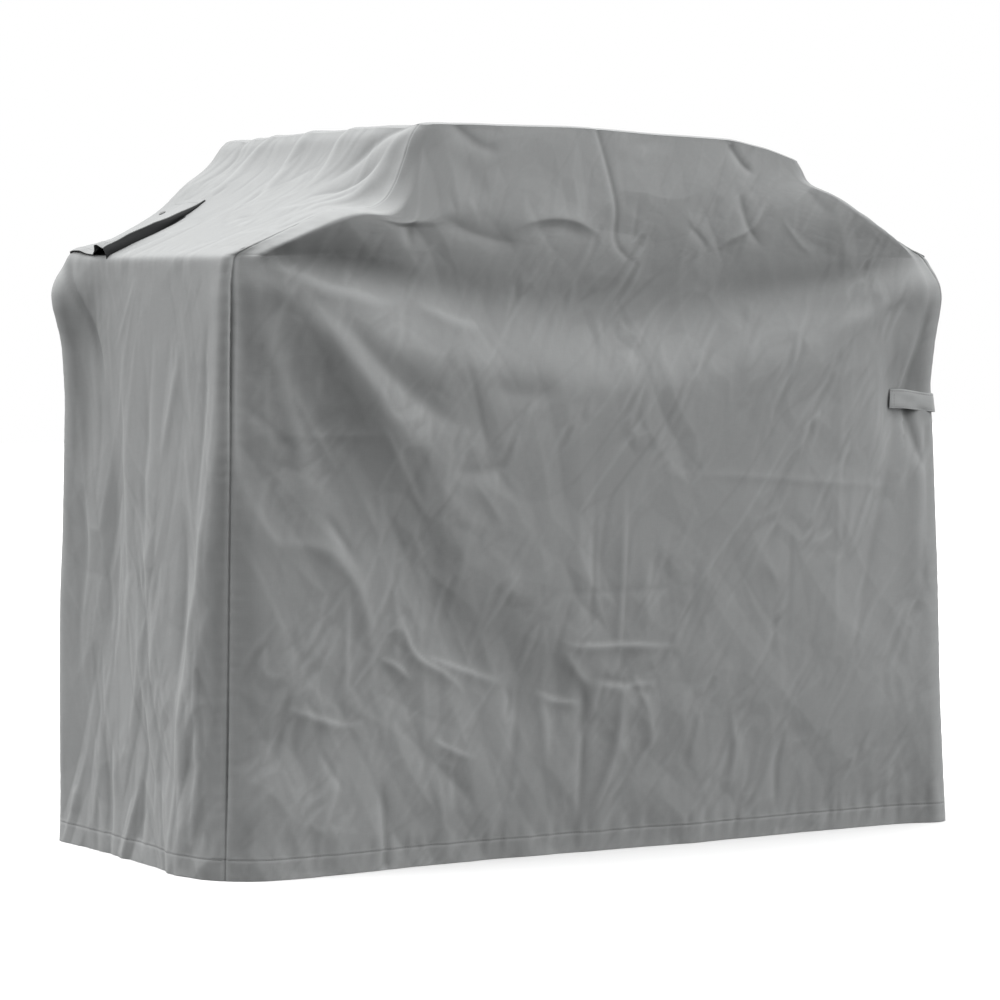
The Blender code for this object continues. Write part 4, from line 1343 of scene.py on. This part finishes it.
def floor_paint(name):
    """A plain white studio floor."""
    colour = (0.80, 0.80, 0.80)
    p = Paint(name, colour, 0.9, Specular_IOR_Level=0.1)
    place = p.node("TexCoord").outputs["Object"]
    p.tint(colour, p.around(p.noise(place, 3.0), 0.99, 1.01))
    return p.done()


# ---------------------------------------------------------------- the stage

CAMERA_AZIMUTH, CAMERA_RISE = math.radians(-31.32), math.radians(3.15)
CAMERA_DISTANCE = 6.28
CAMERA_AIM = (-0.0103, 0.0062, 0.52)


def camera():
    """The photo's view."""
    data = bpy.data.cameras.new("camera")
    data.lens = 144
    data.sensor_width = 36
    data.clip_end = 60
    cam = bpy.data.objects.new("camera", data)
    flat = math.cos(CAMERA_RISE)
    back = Vector(
        (math.sin(CAMERA_AZIMUTH) * flat, -math.cos(CAMERA_AZIMUTH) * flat, math.sin(CAMERA_RISE))
    )
    cam.location = Vector(CAMERA_AIM) + back * CAMERA_DISTANCE
    cam.rotation_mode = "QUATERNION"
    cam.rotation_quaternion = (-back).to_track_quat("-Z", "Y")
    bpy.context.scene.collection.objects.link(cam)
    bpy.context.scene.camera = cam


# The lights: direction, strength and how tightly each is gathered. The first is the soft light
# overhead, the others stand at the sides. GROUND_DARK is how much darker it gets towards the ground.
LIGHTS = (
    ((0.0, 0.0, 1.0), 3.50, 2.45),
    ((-0.543, 0.647, 0.536), 2.25, 2.4),
    ((0.736, -0.676, 0.037), 4.55, 8.5),
)
GROUND_DARK = 0.41


def world():
    """Soft studio light from a plain dome. Only the camera sees it as white."""
    made = bpy.data.worlds.new("dome")
    bpy.context.scene.world = made
    made.use_nodes = True
    nodes, links = made.node_tree.nodes, made.node_tree.links
    nodes.clear()

    def node(kind, **settings):
        built = nodes.new("ShaderNode" + kind)
        for key, value in settings.items():
            setattr(built, key, value)
        return built

    def calculate(operation, a, b, c=None):
        built = node("Math", operation=operation)
        for socket, value in zip(built.inputs, (a, b, c)):
            if isinstance(value, bpy.types.NodeSocket):
                links.new(value, socket)
            elif value is not None:
                socket.default_value = value
        return built.outputs[0]

    place = node("TexCoord").outputs["Generated"]
    total = 0.0
    for direction, strength, power in LIGHTS:
        along = node("VectorMath", operation="DOT_PRODUCT")
        along.inputs[1].default_value = direction
        links.new(place, along.inputs[0])
        lobe = calculate("POWER", calculate("MAXIMUM", along.outputs["Value"], 0.0), power)
        total = calculate("MULTIPLY_ADD", lobe, strength, total)
    down = node("SeparateXYZ")
    links.new(place, down.inputs[0])
    total = calculate("MULTIPLY_ADD", calculate("MINIMUM", down.outputs["Z"], 0.0), GROUND_DARK, total)
    total = calculate("MAXIMUM", total, 0.0)
    sky, white = node("Background"), node("Background")
    for one in (sky, white):
        one.inputs["Color"].default_value = (1, 1, 1, 1)
    links.new(total, sky.inputs["Strength"])
    mix, seen = node("MixShader"), node("LightPath")
    links.new(seen.outputs["Is Camera Ray"], mix.inputs["Fac"])
    links.new(sky.outputs[0], mix.inputs[1])
    links.new(white.outputs[0], mix.inputs[2])
    links.new(mix.outputs[0], node("OutputWorld").inputs[0])


def stage():
    """The floor under the cover."""
    mesh = bpy.data.meshes.new("floor")
    size = 14
    mesh.from_pydata(
        [(-size, -size, 0), (size, -size, 0), (size, size, 0), (-size, size, 0)], [], [(0, 1, 2, 3)]
    )
    floor = bpy.data.objects.new("floor", mesh)
    floor.data.materials.append(floor_paint("floor"))
    floor.location.z = -0.0005
    floor.visible_diffuse = False
    floor.visible_glossy = False
    bpy.context.scene.collection.objects.link(floor)


# ---------------------------------------------------------------- the build

CLOTH_COLOUR = (0.262, 0.268, 0.268)


def tapes(front, right, back, left, top, paints):
    """The binding inside each seam, by the CAD's own grouping."""
    first = int(np.searchsorted(ROWS, HEM + 0.003))
    last = len(ROWS) - 12
    edges = {
        "front": (top, left, front, right),
        "back": (top[::-1, ::-1], right, back, left),
    }
    made = {}
    for name, (edge, before, own, after) in edges.items():
        pieces = [seam_strip(before, own, first, last), seam_strip(own, after, first, last),
                  rim_strip(own, edge)]
        obj = joined(name + "_tape", pieces)
        made[name] = finish_piece(obj, "cover", "seam_binding", paints["tape"], name + "_seam_binding")
    for name, own, edge in (
        ("right", right, top[:, ::-1].transpose(1, 0, 2)),
        ("left", left, top[::-1].transpose(1, 0, 2)),
    ):
        obj = rim_strip(own, edge)
        obj.name = name + "_rim_tape"
        made[name] = finish_piece(obj, "cover", "seam_binding", paints["tape"], name + "_rim_binding")
    return made


def hem_thread(panel, paints):
    """The stitched line of a panel's hem."""
    row = int(np.argmin(np.abs(ROWS - HEM)))
    n = panel.facing[row, 2:-2]
    thread = stitches("thread_" + panel.name, [(panel.points[row, 2:-2] + n * 0.0003, n)])
    return finish_piece(thread, "cover", "cover_cloth", paints["thread"])


TAPE_X, TAPE_Z = (0.5562, 0.5912), (0.664, 0.688)


def tape_pieces(name, panel, body, paints, back):
    """The loop tape sewn to the panel, which it returns, and the hook tape behind the strap's end."""
    xs = np.linspace(*TAPE_X, 24)
    zs = np.linspace(*TAPE_Z, 16)
    ups = [float(np.interp(z, STRIP_Z, STRIP)) for z in zs]
    points, facing = patch(panel, xs[::-1] if back else xs, ups)
    edge = np.minimum(
        np.minimum(xs - xs[0], xs[-1] - xs)[None, :], np.minimum(zs - zs[0], zs[-1] - zs)[:, None]
    )
    swell = (0.0004 + 0.0007 * smooth(edge / 0.002))[:, :, None]
    loop = closed_sheet(f"pile_{name}_loop", points + facing * (0.0002 + swell), points + facing * 0.0002)
    finish_piece(loop, "cover", "hook_and_loop", paints["loop"], f"{name}_strap_loop_tape")
    grid = np.zeros((len(zs), len(xs), 3))
    grid[:, :, 0], grid[:, :, 1], grid[:, :, 2] = xs[None, :], STRAP_Y + 0.00115, zs[:, None] - 0.002
    pile = grid + (0, 0.0004, 0) + np.array([0, 1, 0]) * swell * 0.8
    if back:
        grid, pile = (one[:, ::-1] * (1, -1, 1) for one in (grid, pile))
    hook = closed_sheet(f"pile_{name}_hook", grid, pile)
    finish_piece(hook, body, "hook_and_loop", paints["hook"], f"{name}_strap_hook_tape")
    return loop


def all_paints():
    """Every material, by a short name."""
    return {
        "cloth": cloth_paint("cover_cloth", CLOTH_COLOUR),
        # the straps' cloth is the cover's colour a third lighter: painted light on the straps
        "strap": cloth_paint("strap_cloth", tuple(1.32 * c for c in CLOTH_COLOUR), 1300.0),
        # the vent gussets' near-black cloth is painted shade
        "lining": cloth_paint("vent_lining", (0.030, 0.031, 0.032), 900.0, 0.85),
        "tape": tape_paint("binding_tape", (0.20, 0.205, 0.21)),
        "hook": pile_paint("hook_tape", (0.13, 0.132, 0.135)),
        "loop": pile_paint("loop_tape", (0.17, 0.172, 0.175)),
        "mesh": screen_paint("vent_netting"),
        "stud": stud_paint("vent_stud", (0.16, 0.16, 0.16)),
        "thread": thread_paint("sewing_thread", (0.20, 0.204, 0.205)),
    }


def build():
    """Sets the stage, shapes the panels and makes every piece."""
    scene = bpy.context.scene
    scene.view_settings.view_transform = "Standard"
    camera()
    world()
    stage()
    paints = all_paints()
    panels = [
        Panel("front_panel", 0, 2 * SHELF_X, CELL),
        Panel("right_side_panel", 1, 2 * SHELF_Y, COARSE),
        Panel("back_panel", 2, 2 * SHELF_X, COARSE),
        Panel("left_side_panel", 3, 2 * SHELF_Y, CELL),
    ]
    share_normals(panels)
    for panel in panels:
        displace(panel)
        panel.facing = normals(panel.points)
        panel.across = panel.local()[0]
    top_grid = top_points(*panels)
    made = tapes(*panels, top_grid, paints)
    for panel in panels:
        finish_piece(
            panel_piece(panel), "cover", "cover_cloth", paints["cloth"], panel.name
        )
    uv = np.stack(np.meshgrid(panels[0].shares * 2 * TOP_X, panels[3].shares * 2 * TOP_Y), axis=-1)
    top = closed_sheet("cloth_top_panel", top_grid, top_grid - normals(top_grid) * CLOTH, uv)
    finish_piece(top, "cover", "cover_cloth", paints["cloth"], "top_panel")
    for panel in panels:
        side = panel.name.split("_")[0]
        hem = finish_piece(hem_piece(panel), "cover", "cover_cloth", paints["cloth"], side + "_hem")
        extras = [hem, hem_thread(panel, paints), made[side]]
        if panel.k % 2 == 0:
            back = panel.k == 2
            name = "back_right" if back else "front_right"
            body = name + "_strap"
            extras.append(tape_pieces(name, panel, body, paints, back))
            strap_piece(name, [name + "_strap_base", name + "_strap_tab"], paints, back)
        else:
            vent_pieces(side, panel, paints)


build()
